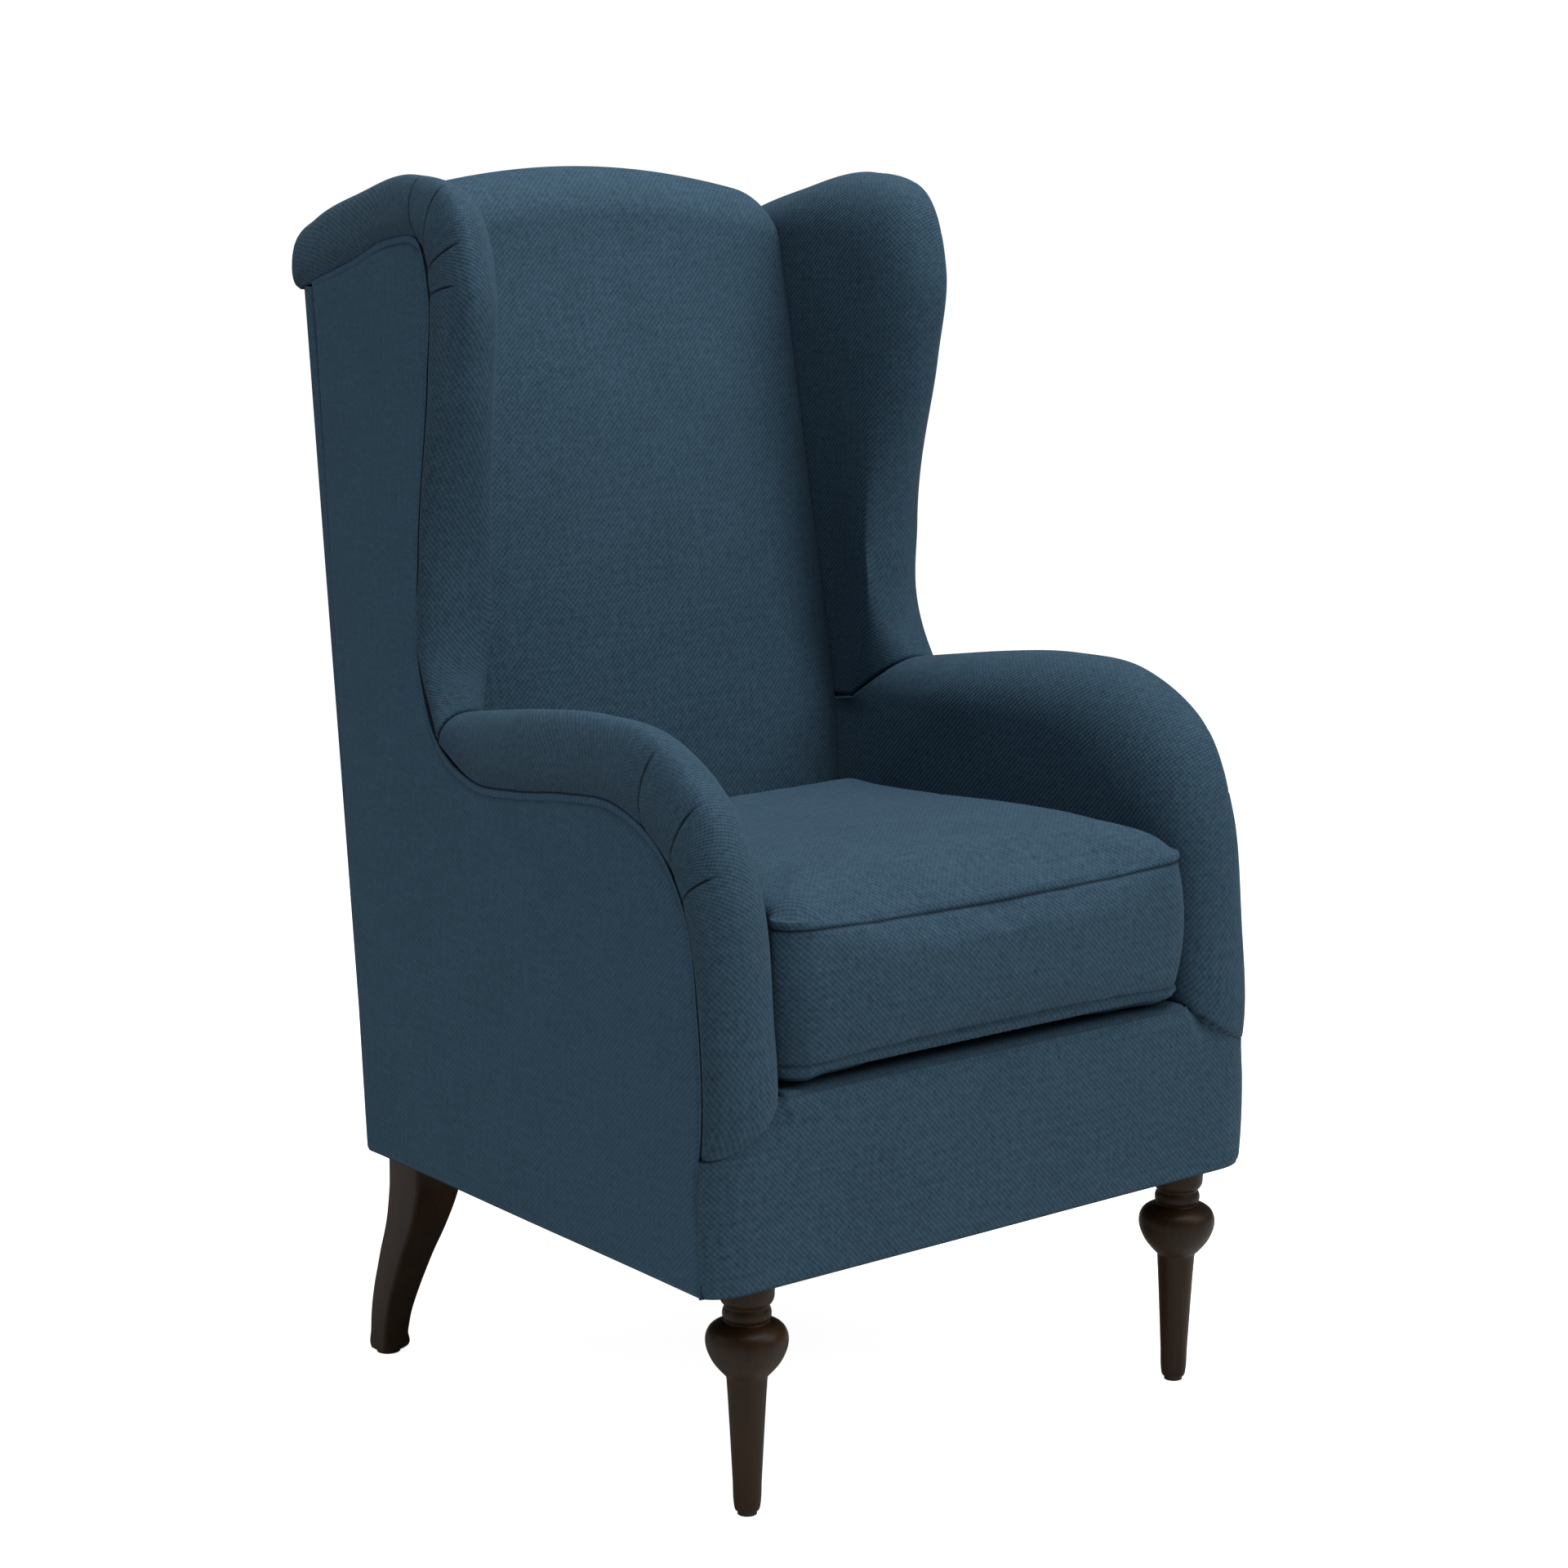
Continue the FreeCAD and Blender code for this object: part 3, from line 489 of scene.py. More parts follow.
# The cloth laid flat: the inner face as it is, and the roll unrolled outwards from it, to (-cos a, sin a).
def flatUv(points, inner, curves, t, rollRows):
    turn = np.radians(throughNumbers(curves["clothTurn"], chordKnots(curves["crown"]), t))
    out = np.concatenate([-np.cos(turn), np.sin(turn)], 1)
    run = along(points, 1)[..., None]
    left = run[:, rollRows - 1:rollRows] - run
    return np.where(left > 0, inner + out[:, None] * left, points[..., 1:])


# Where a pleat runs: a quarter ellipse that leaves the welt along it and ends straight across the roll.
def tuck(run, start, end, reach):
    share = np.clip(run / reach, 0, 1)
    return start + (end - start) * np.sqrt(1 - (1 - share) ** 2)


armPleats = {  # (place on the welt, place of the tip), as (y, z), and how far over the roll each tip is
    "ends": [((-.240, .566), (-.220, .612)), ((-.268, .538), (-.264, .572)), ((-.284, .515), (-.283, .533))],
    "reach": [0.068, 0.062, 0.046], "depth": 0.0020, "width": 0.0013}
wingPleats = {
    "ends": [((.112, 1.022), (.142, 1.083)), ((.104, 1.008), (.108, 1.055)), ((.099, 1.000), (.088, 1.020)),
             ((.101, .978), (.091, .990))],
    "reach": [0.070, 0.064, 0.052, 0.042], "depth": 0.0020, "width": 0.0013}


def rollPiece(name, curves, pleats, hand, mitreAtEnd, seed):
    rollRows, faceRows = 74, 34
    dense = np.linspace(0, 1, 3000)
    knots = chordKnots(curves["crown"])
    weltLine = throughKeys(curves["welt"], knots, dense)
    crownLine = throughKeys(curves["crown"], knots, dense)
    starts = [nearest(weltLine, a) for a, b in pleats["ends"]]
    ends = [nearest(crownLine * 0.6 + weltLine * 0.4, b) for a, b in pleats["ends"]]
    t = spread(430, starts + ends + [float(mitreAtEnd)])
    points, inner = rollSurface(curves, t, rollRows, faceRows)
    normals = gridNormals(points)
    if normals[:, 2, 0].mean() > 0:
        normals = -normals
    across = along(points, 1)
    length = along(points, 0)
    mitre = np.abs(length - (length[-1:] if mitreAtEnd else 0))
    share = np.clip(across / across[:, rollRows - 1:rollRows], 0, 1)
    puff = 0.0022 * ease(share / 0.12) * (1 - ease((share - 0.35) / 0.5))
    lift = puff - 0.0022 * bell(across, 0.0030) - 0.0030 * bell(mitre, 0.0024) * ease(across / 0.01)
    # painted shade: a thin dark line along the welt and the mitre, and a soft band on the roll's outer
    # quarter beside the welt
    crease = 0.9 * bell(across, 0.0014) + 0.24 * bell(across - 0.004, 0.015) + bell(mitre, 0.0012)
    pathLength = np.linalg.norm(np.diff(crownLine, axis=0), axis=1).sum()
    for start, end, reach in zip(starts, ends, pleats["reach"]):
        line = tuck(across, start, end, reach)
        off = (t[:, None] - line) * pathLength
        fade = ease((reach - across) / (0.35 * reach))
        lift = lift - fade * pleats["depth"] * bell(off, pleats["width"])
        lift = lift - fade * 0.0008 * bell(off - 0.006, 0.006)
        # painted shade along each pleat's fold
        crease = crease + 1.2 * fade * bell(off, 0.0012)
    lift = lift + 0.0006 * ripple(points[..., 1], points[..., 2] + points[..., 0], seed)
    if mitreAtEnd:
        toSeam = points[..., 2] - borderTop(sideLean["x"] - points[..., 0])
        lift = lift - 0.005 * ease((0.002 - toSeam) / 0.006)
        # painted shade along the seam over the front border
        crease = crease + 0.9 * bell(toSeam, 0.0014)
    points = points + normals * lift[..., None]
    uv = flatUv(points, inner, curves, t, rollRows)
    if mitreAtEnd:    # a ledge back to the wing's inner face, because the wing is not as thick as the arm
        ledge = points[-1:].copy()
        ledge[..., 0] = np.minimum(ledge[..., 0], curves["ledge"])
        points = np.concatenate([points, ledge])
        uv = np.concatenate([uv, uv[-1:] + (0.012, 0.012)])
        crease = np.concatenate([crease, 0.5 * crease[-1:]])
    middle = onSide(np.array([curves["thickness"] / 2, *np.mean(curves["inner"], axis=0)]), hand)
    piece = gridPiece(name, onSide(points, hand), uv, coverCloth, crease=crease, inside=middle)
    return thicken(piece, 0.004)


# The outer panel's edge, from the front hem up over the arm and the wing to the outer back.
def weltPath(count):
    low = [(-.317, baseBottom), (-.3145, .262)]
    keys = np.array(low + armCurves["welt"][:-1] + wingCurves["welt"][:-3])
    return throughKeys(keys, chordKnots(keys), np.linspace(0, 1, count))


def evenly(path, count):
    run = along(path)
    at = np.linspace(0, run[-1], count)
    return np.stack([np.interp(at, run, path[:, k]) for k in range(path.shape[1])], 1)


backPlane = {"footY": 0.204, "slope": 0.1454}    # outer back: y = footY + slope (z - baseBottom)


def backY(z):
    return backPlane["footY"] + backPlane["slope"] * (z - baseBottom)


# The outer side panel: straight lines from the welt to the bottom and rear edges, filled out a little.
def panelPiece(name, hand, seed):
    rows, columns = 300, 60
    welt = evenly(weltPath(3000), rows)
    corner = (backY(baseBottom) - 0.001, baseBottom)
    edge = np.concatenate([np.linspace(welt[0], corner, 400), np.linspace(corner, welt[-1], 500)])
    edge = evenly(edge, 2400)
    run = along(edge)
    # the corner is reached where the welt passes the notch between arm and wing
    notch = nearest(welt, armCurves["welt"][-1])
    cornerShare = (corner[0] - welt[0, 0]) / run[-1]
    at = np.interp(np.linspace(0, 1, rows), [0, notch, 1], [0, cornerShare, 1]) * run[-1]
    far = np.stack([np.interp(at, run, edge[:, k]) for k in (0, 1)], 1)
    u = (1 - np.cos(np.linspace(0, np.pi, columns))) / 2
    plane = welt[:, None] + (far - welt)[:, None] * u[None, :, None]
    toWelt = along(plane, 1)
    toEdge = toWelt[:, -1:] - toWelt
    fill = 0.0022 * np.sin(np.pi * u)[None] ** 0.5 * np.ones((rows, 1))
    tucked = 0.0020 * bell(toWelt, 0.006) + 0.0022 * bell(toEdge, 0.003)
    hem = plane[..., 1] - baseBottom
    depth = 0.0006 - fill + tucked + 0.0004 * ripple(plane[..., 0], plane[..., 1], seed, low=8, high=30)
    # painted shade at the welt, the hem and the rear edge
    crease = bell(toWelt, 0.0030) * 0.4 + 0.5 * bell(hem, 0.002) + 0.7 * bell(toEdge, 0.0012)
    points = np.concatenate([depth[..., None], plane], -1)
    middle = onSide(np.array([0.15, -0.05, 0.45]), hand)
    piece = gridPiece(name, onSide(points, hand), plane, sidePaintedLightCloth, crease=crease, inside=middle)
    return thicken(piece, 0.003)


# Flat piping along the panel's edge: a low half round, fullest along the arm and wing tops.
def weltPiece(name, hand):
    count, around = 640, 26
    path = evenly(weltPath(4000), count)
    ahead = np.gradient(path, axis=0)
    ahead /= np.linalg.norm(ahead, axis=1, keepdims=True)
    out = np.stack([-ahead[:, 1], ahead[:, 0]], 1)
    level = np.abs(ahead[:, 0])
    full = (0.42 + 0.58 * ease((level - 0.55) / 0.35))[:, None]
    a = np.linspace(0, 2 * np.pi, around, endpoint=False)[None]
    half, high = 0.0036 * full, 0.0017 * full
    width = half * np.cos(a)
    rise = high * np.sign(np.sin(a)) * np.abs(np.sin(a)) ** 0.6
    plane = path[:, None] + out[:, None] * (width - 0.0012)[..., None]
    depth = 0.0012 - rise
    points = np.concatenate([depth[..., None], plane], -1)
    # painted shade along both edges of the piping, where it meets the panel
    crease = 0.95 * bell(width / half - 1.0, 0.25) + 0.6 * bell(width / half + 1.0, 0.2)
    uv = tubeUv(points)
    return gridPiece(name, onSide(points, hand), uv, sidePaintedLightCloth, wrap=True, crease=crease)


for handName, hand, seed in (("left", 1, 11), ("right", -1, 23)):
    arm = rollPiece(handName + "ArmRoll", armCurves, armPleats, hand, True, seed)
    wing = rollPiece(handName + "WingRoll", wingCurves, wingPleats, hand, False, seed + 1)
    panel = panelPiece(handName + "OuterPanel", hand, seed + 2)
    welt = weltPiece(handName + "Welt", hand)
    for piece, node in ((arm, "arm_pad"), (wing, "wing_pad"), (panel, "side_panel"), (welt, "side_welt")):
        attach(piece, "chair")
        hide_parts(f"{handName}_{node}")
print("sides ready")


backPad = {"bottom": 0.345, "crestDrop": 0.036, "crestHalf": 0.246, "crestRadius": 0.045,
           "frontY": 0.144, "frontZ": 0.489, "frontSlope": 0.162, "crown": 0.017,
           "edgeRound": 0.030, "edgeTuck": 0.013, "endDrop": 0.022,
           "seamSide": 0.985, "seamMiddle": 1.028, "seamHalf": 0.2785, "tuckIn": 0.004}


# Half the clear width between the sides' inner faces.
def innerX(thickness, y, z):
    return (sideLean["x"] - thickness - sideLean["back"] * (y - sideLean["y"])
            - sideLean["up"] * (z - sideLean["z"]))


# The rear seam under the crest is an arch: it falls as the square of x.
def backSeamZ(x):
    fall = backPad["seamMiddle"] - backPad["seamSide"]
    return backPad["seamMiddle"] - fall * (x / backPad["seamHalf"]) ** 2


# The inside back: up the sloping front, over a half-round crest and down to the rear seam.
def backPadPiece():
    b = backPad
    columns, faceRows, crestRows, rearRows = 150, 150, 60, 14
    u = np.sin(np.linspace(-np.pi / 2, np.pi / 2, columns))
    u = 0.6 * u + 0.4 * np.linspace(-1, 1, columns)
    nominal = u * innerX(wingCurves["thickness"], 0.22, 0.9)
    top = crestTop - b["crestDrop"] * (nominal / b["crestHalf"]) ** 2
    start = top - b["crestRadius"]
    seam = backSeamZ(nominal)
    upward = np.linspace(0, 1, faceRows)[:, None] ** 0.9
    angle = np.linspace(0, np.pi, crestRows)[1:, None]
    downward = np.linspace(0, 1, rearRows)[1:, None]
    z = np.concatenate([b["bottom"] + (start - b["bottom"]) * upward,
                        start + b["crestRadius"] * np.sin(angle),
                        start + (seam - start) * downward])
    turn = np.concatenate([0 * upward, angle, 0 * downward + np.pi]) * np.ones((1, columns))
    arm, wing = armCurves["thickness"], wingCurves["thickness"]
    thick = arm + (wing - arm) * ease((z - 0.38) / 0.19)
    slope = b["frontY"] + b["frontSlope"] * (z - b["frontZ"])
    half = innerX(thick, slope, z) + b["tuckIn"]
    x = u[None] * half
    edge = np.clip((np.abs(x) - (half - b["edgeRound"])) / b["edgeRound"], 0, 1)
    rounded = 1 - np.sqrt(1 - np.minimum(edge, 0.9995) ** 2.2)
    window = ease((z - 0.30) / 0.30) * (1 - 0.55 * ease((z - 0.86) / 0.2))
    crown = b["crown"] * (1 - np.abs(u[None]) ** 2.4) * window
    front = slope - crown + b["edgeTuck"] * rounded
    y = front + (backY(z) - front) * (1 - np.cos(turn)) / 2
    z = z - b["endDrop"] * rounded * np.sin(turn)
    points = np.stack([x, y, z], -1)
    normals = gridNormals(points)
    if normals[faceRows // 2, columns // 2, 1] > 0:
        normals = -normals
    toSeam = along(points, 0)
    toSeam = toSeam[-1:] - toSeam
    lift = 0.0011 * ripple(points[..., 0], points[..., 2], 5, low=5, high=20)
    lift = lift - 0.004 * bell(toSeam, 0.005)
    points = points + normals * lift[..., None]
    toSide = half - np.abs(x)
    # painted shade at the sides and the rear seam, and a broad band of painted shade low beside the arms and
    # wings, where they shade the back
    crease = 0.7 * bell(toSide, 0.002) + bell(toSeam, 0.002)
    crease = crease + 0.3 * bell(toSide, 0.035) * (1 - ease((z - 0.62) / 0.3))
    uv = np.stack([-points[..., 0], along(points, 0)], -1)
    piece = gridPiece("insideBack", points, uv, coverCloth, crease=crease, inside=(0, 0.24, 0.75))
    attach(thicken(piece, 0.004), "chair")
    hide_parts("inside_back_pad")


# The outer back: a flat panel with an arched top, drawn in at its edges and a little full between
# them. Its sides turn forwards inside the outer panels.
def backPanelPiece():
    rows, columns = 130, 110
    v = (1 - np.cos(np.linspace(0, np.pi, rows)))[:, None] / 2
    u = np.sin(np.linspace(-np.pi / 2, np.pi / 2, columns))
    u = np.concatenate([-np.ones(4), u, np.ones(4)])[None]
    turned = [.014, .009, .005, .002]
    back = np.concatenate([turned, np.zeros(columns), turned[::-1]])[None]
    halfLow = sideLean["x"] - sideLean["back"] * (backPlane["footY"] - sideLean["y"]) - 0.0015
    top = backSeamZ(u * backPad["seamHalf"])
    z = baseBottom + (top - baseBottom) * v
    half = halfLow - (sideLean["up"] + sideLean["back"] * backPlane["slope"]) * (z - baseBottom)
    x = u * half
    toEdge = np.minimum(np.minimum(half - np.abs(x), top - z), z - baseBottom + 0.004)
    y = backY(z) - 0.0005 + 0.0045 * (1 - bell(toEdge, 0.05)) - 0.004 * bell(toEdge, 0.004)
    y = y + 0.0006 * ripple(x, z, 41, low=6, high=18) - back
    points = np.stack([x, y, z], -1)
    # painted shade along the edges, but not on the returns
    crease = 0.8 * bell(toEdge, 0.0022) * (back < 0.001)
    uv = np.stack([x + np.sign(x) * back, z], -1)
    piece = gridPiece("outerBack", points, uv, sidePaintedLightCloth, crease=crease, inside=(0, 0.15, 0.6))
    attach(thicken(piece, 0.004), "chair")
    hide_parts("outside_back_panel")


backPadPiece()
backPanelPiece()
print("back ready")


# The front of the arm rolls in plan: two quarter ellipses that meet at the crown.
def armFrontY(x):
    out = (np.abs(x) - border["sideX"] + border["cornerX"]) / border["cornerX"]
    root = np.sqrt(1 - np.clip(out, -1, 1) ** 2)
    return np.where(out > 0, -0.3105 - 0.0225 * root, -0.300 - 0.033 * root)


# Straight across the front, with a quarter ellipse at each corner. Its top follows the arms' fronts.
def borderPiece():
    b = border
    a = np.linspace(0, np.pi / 2, 34)
    turnX = b["sideX"] - b["cornerX"] * (1 - np.cos(a))
    turnY = b["frontY"] + b["cornerY"] * (1 - np.sin(a))
    half = np.linspace(0, b["sideX"] - b["cornerX"], 110)
    side = np.stack([np.concatenate([half[:-1], turnX[::-1]]),
                     np.concatenate([0 * half[:-1] + b["frontY"], turnY[::-1]])], 1)
    plan = np.concatenate([side[::-1] * (-1, 1), side[1:]])
    rows = 64
    v = (1 - np.cos(np.linspace(0, np.pi, rows)))[:, None] / 2
    x = plan[:, 0]
    top = borderTop(x)[None]
    z = baseBottom + (top - baseBottom) * v
    outer = np.gradient(plan, axis=0)
    outer /= np.linalg.norm(outer, axis=1, keepdims=True)
    outward = np.stack([outer[:, 1], -outer[:, 0]], 1)
    toTop, toHem = top - z, z - baseBottom
    run = along(plan)
    toEnd = np.minimum(run, run[-1] - run)[None]
    level = (np.abs(x) < b["seamFrom"])[None]
    lift = 0.002 * (1 - bell(np.minimum(toTop, toHem + 0.01), 0.03)) - 0.003 * bell(toEnd, 0.003)
    lift = lift - 0.005 * bell(toTop, 0.006) * level - 0.002 * bell(toHem, 0.004)
    lift = lift + 0.0006 * ripple(x[None] + 0 * z, z, 61, low=6, high=24)
    flat = plan[None] + outward[None] * lift[..., None]
    follow = ease((np.abs(x) - 0.226) / 0.02) * (1 - ease(toTop / 0.034))
    flat[..., 1] += follow * (armFrontY(x) - plan[:, 1])[None]
    points = np.concatenate([flat, z[..., None]], -1)
    # painted shade at the top seam beside the arms, at the ends and at the hem
    crease = np.where(level, 0, 0.9 * bell(toTop, 0.0014))
    crease = crease + 1.1 * bell(toEnd, 0.0024) + 0.5 * bell(toHem, 0.0015)
    uv = np.stack([np.broadcast_to(run[None], z.shape), z], -1)
    piece = gridPiece("frontBorder", points, uv, coverCloth, crease=crease, inside=(0, -0.25, 0.28))
    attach(thicken(piece, 0.003), "chair")
    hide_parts("front_border")


deck = {"nose": 0.013, "top": 0.3605, "seamY": -0.205, "rearY": 0.155, "thickness": 0.012}


# A flat pad between the arms, y0 to y1. With a nose its front turns down in a quarter circle.
def deckPiece(name, y0, y1, nose, cloth, nodes):
    d = deck
    columns = 120
    u = np.linspace(-1, 1, columns)[None]
    if nose:
        a = np.linspace(0, np.pi / 2, 12)
        turn = np.stack([y0 + d["nose"] * (1 - np.sin(a)), d["top"] - d["nose"] * (1 - np.cos(a))], 1)
        flat = np.stack([np.linspace(y0 + d["nose"], y1, 40)[1:], np.full(39, d["top"])], 1)
        profile = np.concatenate([turn[::-1], flat])
    else:
        profile = np.stack([np.linspace(y0, y1, 90), np.full(90, d["top"])], 1)
    y, z = profile[:, :1] + 0 * u, profile[:, 1:] + 0 * u
    half = innerX(armCurves["thickness"], y, z) - 0.001
    x = u * half
    seam = np.abs(y - d["seamY"])
    z = z - 0.003 * bell(seam, 0.005) + 0.0008 * ripple(x, y, 71, low=6, high=22) * (np.abs(u) < 0.97)
    points = np.stack([x, y, z], -1)
    # painted shade along the seam
    crease = bell(seam, 0.002)
    uv = np.stack([x, along(points, 0)], -1)
    piece = gridPiece(name, points, uv, cloth, crease=crease, inside=(0, (y0 + y1) / 2, 0.2))
    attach(thicken(piece, d["thickness"]), "chair")
    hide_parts(*nodes)


borderPiece()
deckPiece("deckFront", border["frontY"] + 0.003, deck["seamY"], True, coverCloth,
          ["front_edge_roll"])
deckPiece("deckCloth", deck["seamY"], deck["rearY"], False, deckCloth,
          ["deck_cover", "deck_pad"])
print("seat base ready")


# (radius, height) of the turned profile, from the base down
frontLeg = {"x": 0.248, "y": -0.300,
            "profile": [(.0001, .203), (.0226, .203), (.0230, .200), (.0229, .192), (.0224, .187),
                        (.0208, .1838), (.0188, .1818), (.0184, .1808), (.0192, .1792), (.0202, .1765),
                        (.0204, .174), (.0201, .1715), (.0190, .1690), (.0184, .1680), (.0215, .1668),
                        (.0262, .1650), (.0308, .1618), (.0335, .1572), (.0344, .152), (.0338, .146),
                        (.0318, .140), (.0285, .1335), (.0240, .1275), (.0198, .1228), (.0176, .1206),
                        (.0171, .1185), (.0166, .112), (.0150, .085), (.0136, .058), (.0122, .030),
                        (.0111, .008), (.0107, .0055), (.0098, .0036), (.0090, .003), (.0001, .003)]}
rearLeg = {"outerX": 0.287,   # (height, front, rear, width) of each section
           "sections": [(.203, .134, .185, .050), (.190, .135, .185, .0494), (.172, .137, .1855, .048),
                        (.155, .142, .188, .0455), (.140, .148, .191, .043), (.122, .157, .1967, .0405),
                        (.106, .1655, .203, .038), (.088, .174, .209, .0355), (.070, .182, .215, .033),
                        (.055, .188, .219, .031), (.040, .193, .222, .029), (.020, .197, .224, .0272),
                        (.0045, .199, .225, .026), (.003, .2003, .2237, .0235)],
           "round": 0.0035}


# A turned leg: the profile's radius and height carried round the leg's axis.
def frontLegPiece(name, hand):
    keys = np.array(frontLeg["profile"])
    path = evenly(throughKeys(keys, chordKnots(keys), np.linspace(0, 1, 2000)), 190)
    path[0, 0] = path[-1, 0] = 0.0001
    a = np.linspace(0, 2 * np.pi, 72, endpoint=False)[None]
    r, z = path[:, :1], path[:, 1:]
    x, y = hand * frontLeg["x"], frontLeg["y"]
    points = np.stack([x + r * np.cos(a), y + r * np.sin(a), z + 0 * a], -1)
    piece = gridPiece(name, points, tubeUv(points), legWood, wrap=True, inside=(x, y, 0.12))
    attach(piece, "chair")
    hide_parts(name.replace("FrontLeg", "_front_leg"))


# A swept leg: rounded rectangles whose corners are quarter circles, lofted from the base to the foot.
def rearLegPiece(name, hand):
    keys = np.array(rearLeg["sections"])
    s = throughKeys(keys, chordKnots(keys[:, [0, 1]]), np.linspace(0, 1, 90))
    z, front, rear, width = s[:, :1], s[:, 1:2], s[:, 2:3], s[:, 3:4]
    outer, radius = rearLeg["outerX"] + 0 * z, rearLeg["round"]
    sides = [(outer - radius, rear - radius), (outer - width + radius, rear - radius),
             (outer - width + radius, front + radius), (outer - radius, front + radius)]
    ring = []
    for quarter, (x, y) in enumerate(sides):
        turn = np.linspace(0, np.pi / 2, 7) + quarter * np.pi / 2
        x, y = x + radius * np.cos(turn), y + radius * np.sin(turn)
        ring.append(np.stack([hand * x, y, z + 0 * turn], -1))
    points = np.concatenate(ring, 1)
    # both ends close to a small point
    first, last = points[:1].mean(1, keepdims=True), points[-1:].mean(1, keepdims=True)
    points = np.concatenate([first + (points[:1] - first) * 0.01, points,
                             last + (points[-1:] - last) * 0.01])
    piece = gridPiece(name, points, tubeUv(points), legWood, wrap=True,
                      inside=(hand * 0.265, 0.18, 0.1))
    edge = piece.modifiers.new("crisp", "EDGE_SPLIT")
    edge.split_angle = np.radians(50)
    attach(piece, "chair")
    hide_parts(name.replace("RearLeg", "_rear_leg"))


for handName, hand in (("left", 1), ("right", -1)):
    frontLegPiece(handName + "FrontLeg", hand)
    rearLegPiece(handName + "RearLeg", hand)
print("legs ready")


seat = {"frontY": -0.328, "rearY": 0.1125, "frontHalf": 0.2290, "rearHalf": 0.2105,
        "frontRound": 0.034, "rearRound": 0.018, "bottomSeam": 0.3690, "topSeam": 0.4985,
        "bottom": 0.3635, "crown": 0.012, "frontCrown": 0.012, "lip": 0.004, "bulge": 0.009,
        "seamDown": 0.0075, "seamUp": 0.009, "cells": 76, "boxRows": 44,
        "pressure": 2.2, "frames": 16, "cap": 0.006}


# An eighth of a circle, about (x, y) from an angle on.
def eighth(x, y, radius, start):
    a = np.linspace(0, np.pi / 4, 40) + start
    return np.stack([x + radius * np.sin(a), y - radius * np.cos(a)], 1)


# Plan outline as four runs that meet in the middle of the corner arcs, front, right, rear, left.
def seatOutline(perSide):
    s = seat
    fx, fy = s["frontHalf"] - s["frontRound"], s["frontY"] + s["frontRound"]
    rx, ry = s["rearHalf"] - s["rearRound"], s["rearY"] - s["rearRound"]
    frontArc = eighth(fx, fy, s["frontRound"], 0)
    rearArc = eighth(rx, ry, s["rearRound"], 3 * np.pi / 4)
    right = np.concatenate([eighth(fx, fy, s["frontRound"], np.pi / 4),
                            eighth(rx, ry, s["rearRound"], np.pi / 2)])
    front = np.concatenate([frontArc[::-1] * (-1, 1), frontArc])
    rear = np.concatenate([rearArc, rearArc[::-1] * (-1, 1)])
    left = right[::-1] * (-1, 1)
    return [evenly(run, perSide + 1) for run in (front, right, rear, left)]


# Fills the outline: each pair of opposite runs is blended across, less the blend of the four corners.
def seatPatch(runs, cells):
    front, right, rear, left = runs
    u = np.linspace(0, 1, cells + 1)
    a, b = u[None, :, None], u[:, None, None]
    rear, left = rear[::-1], left[::-1]
    across = front[None] * (1 - b) + rear[None] * b
    deep = left[:, None] * (1 - a) + right[:, None] * a
    corners = ((1 - a) * (1 - b) * front[0] + a * (1 - b) * front[-1]
               + (1 - a) * b * rear[0] + a * b * rear[-1])
    return across + deep - corners


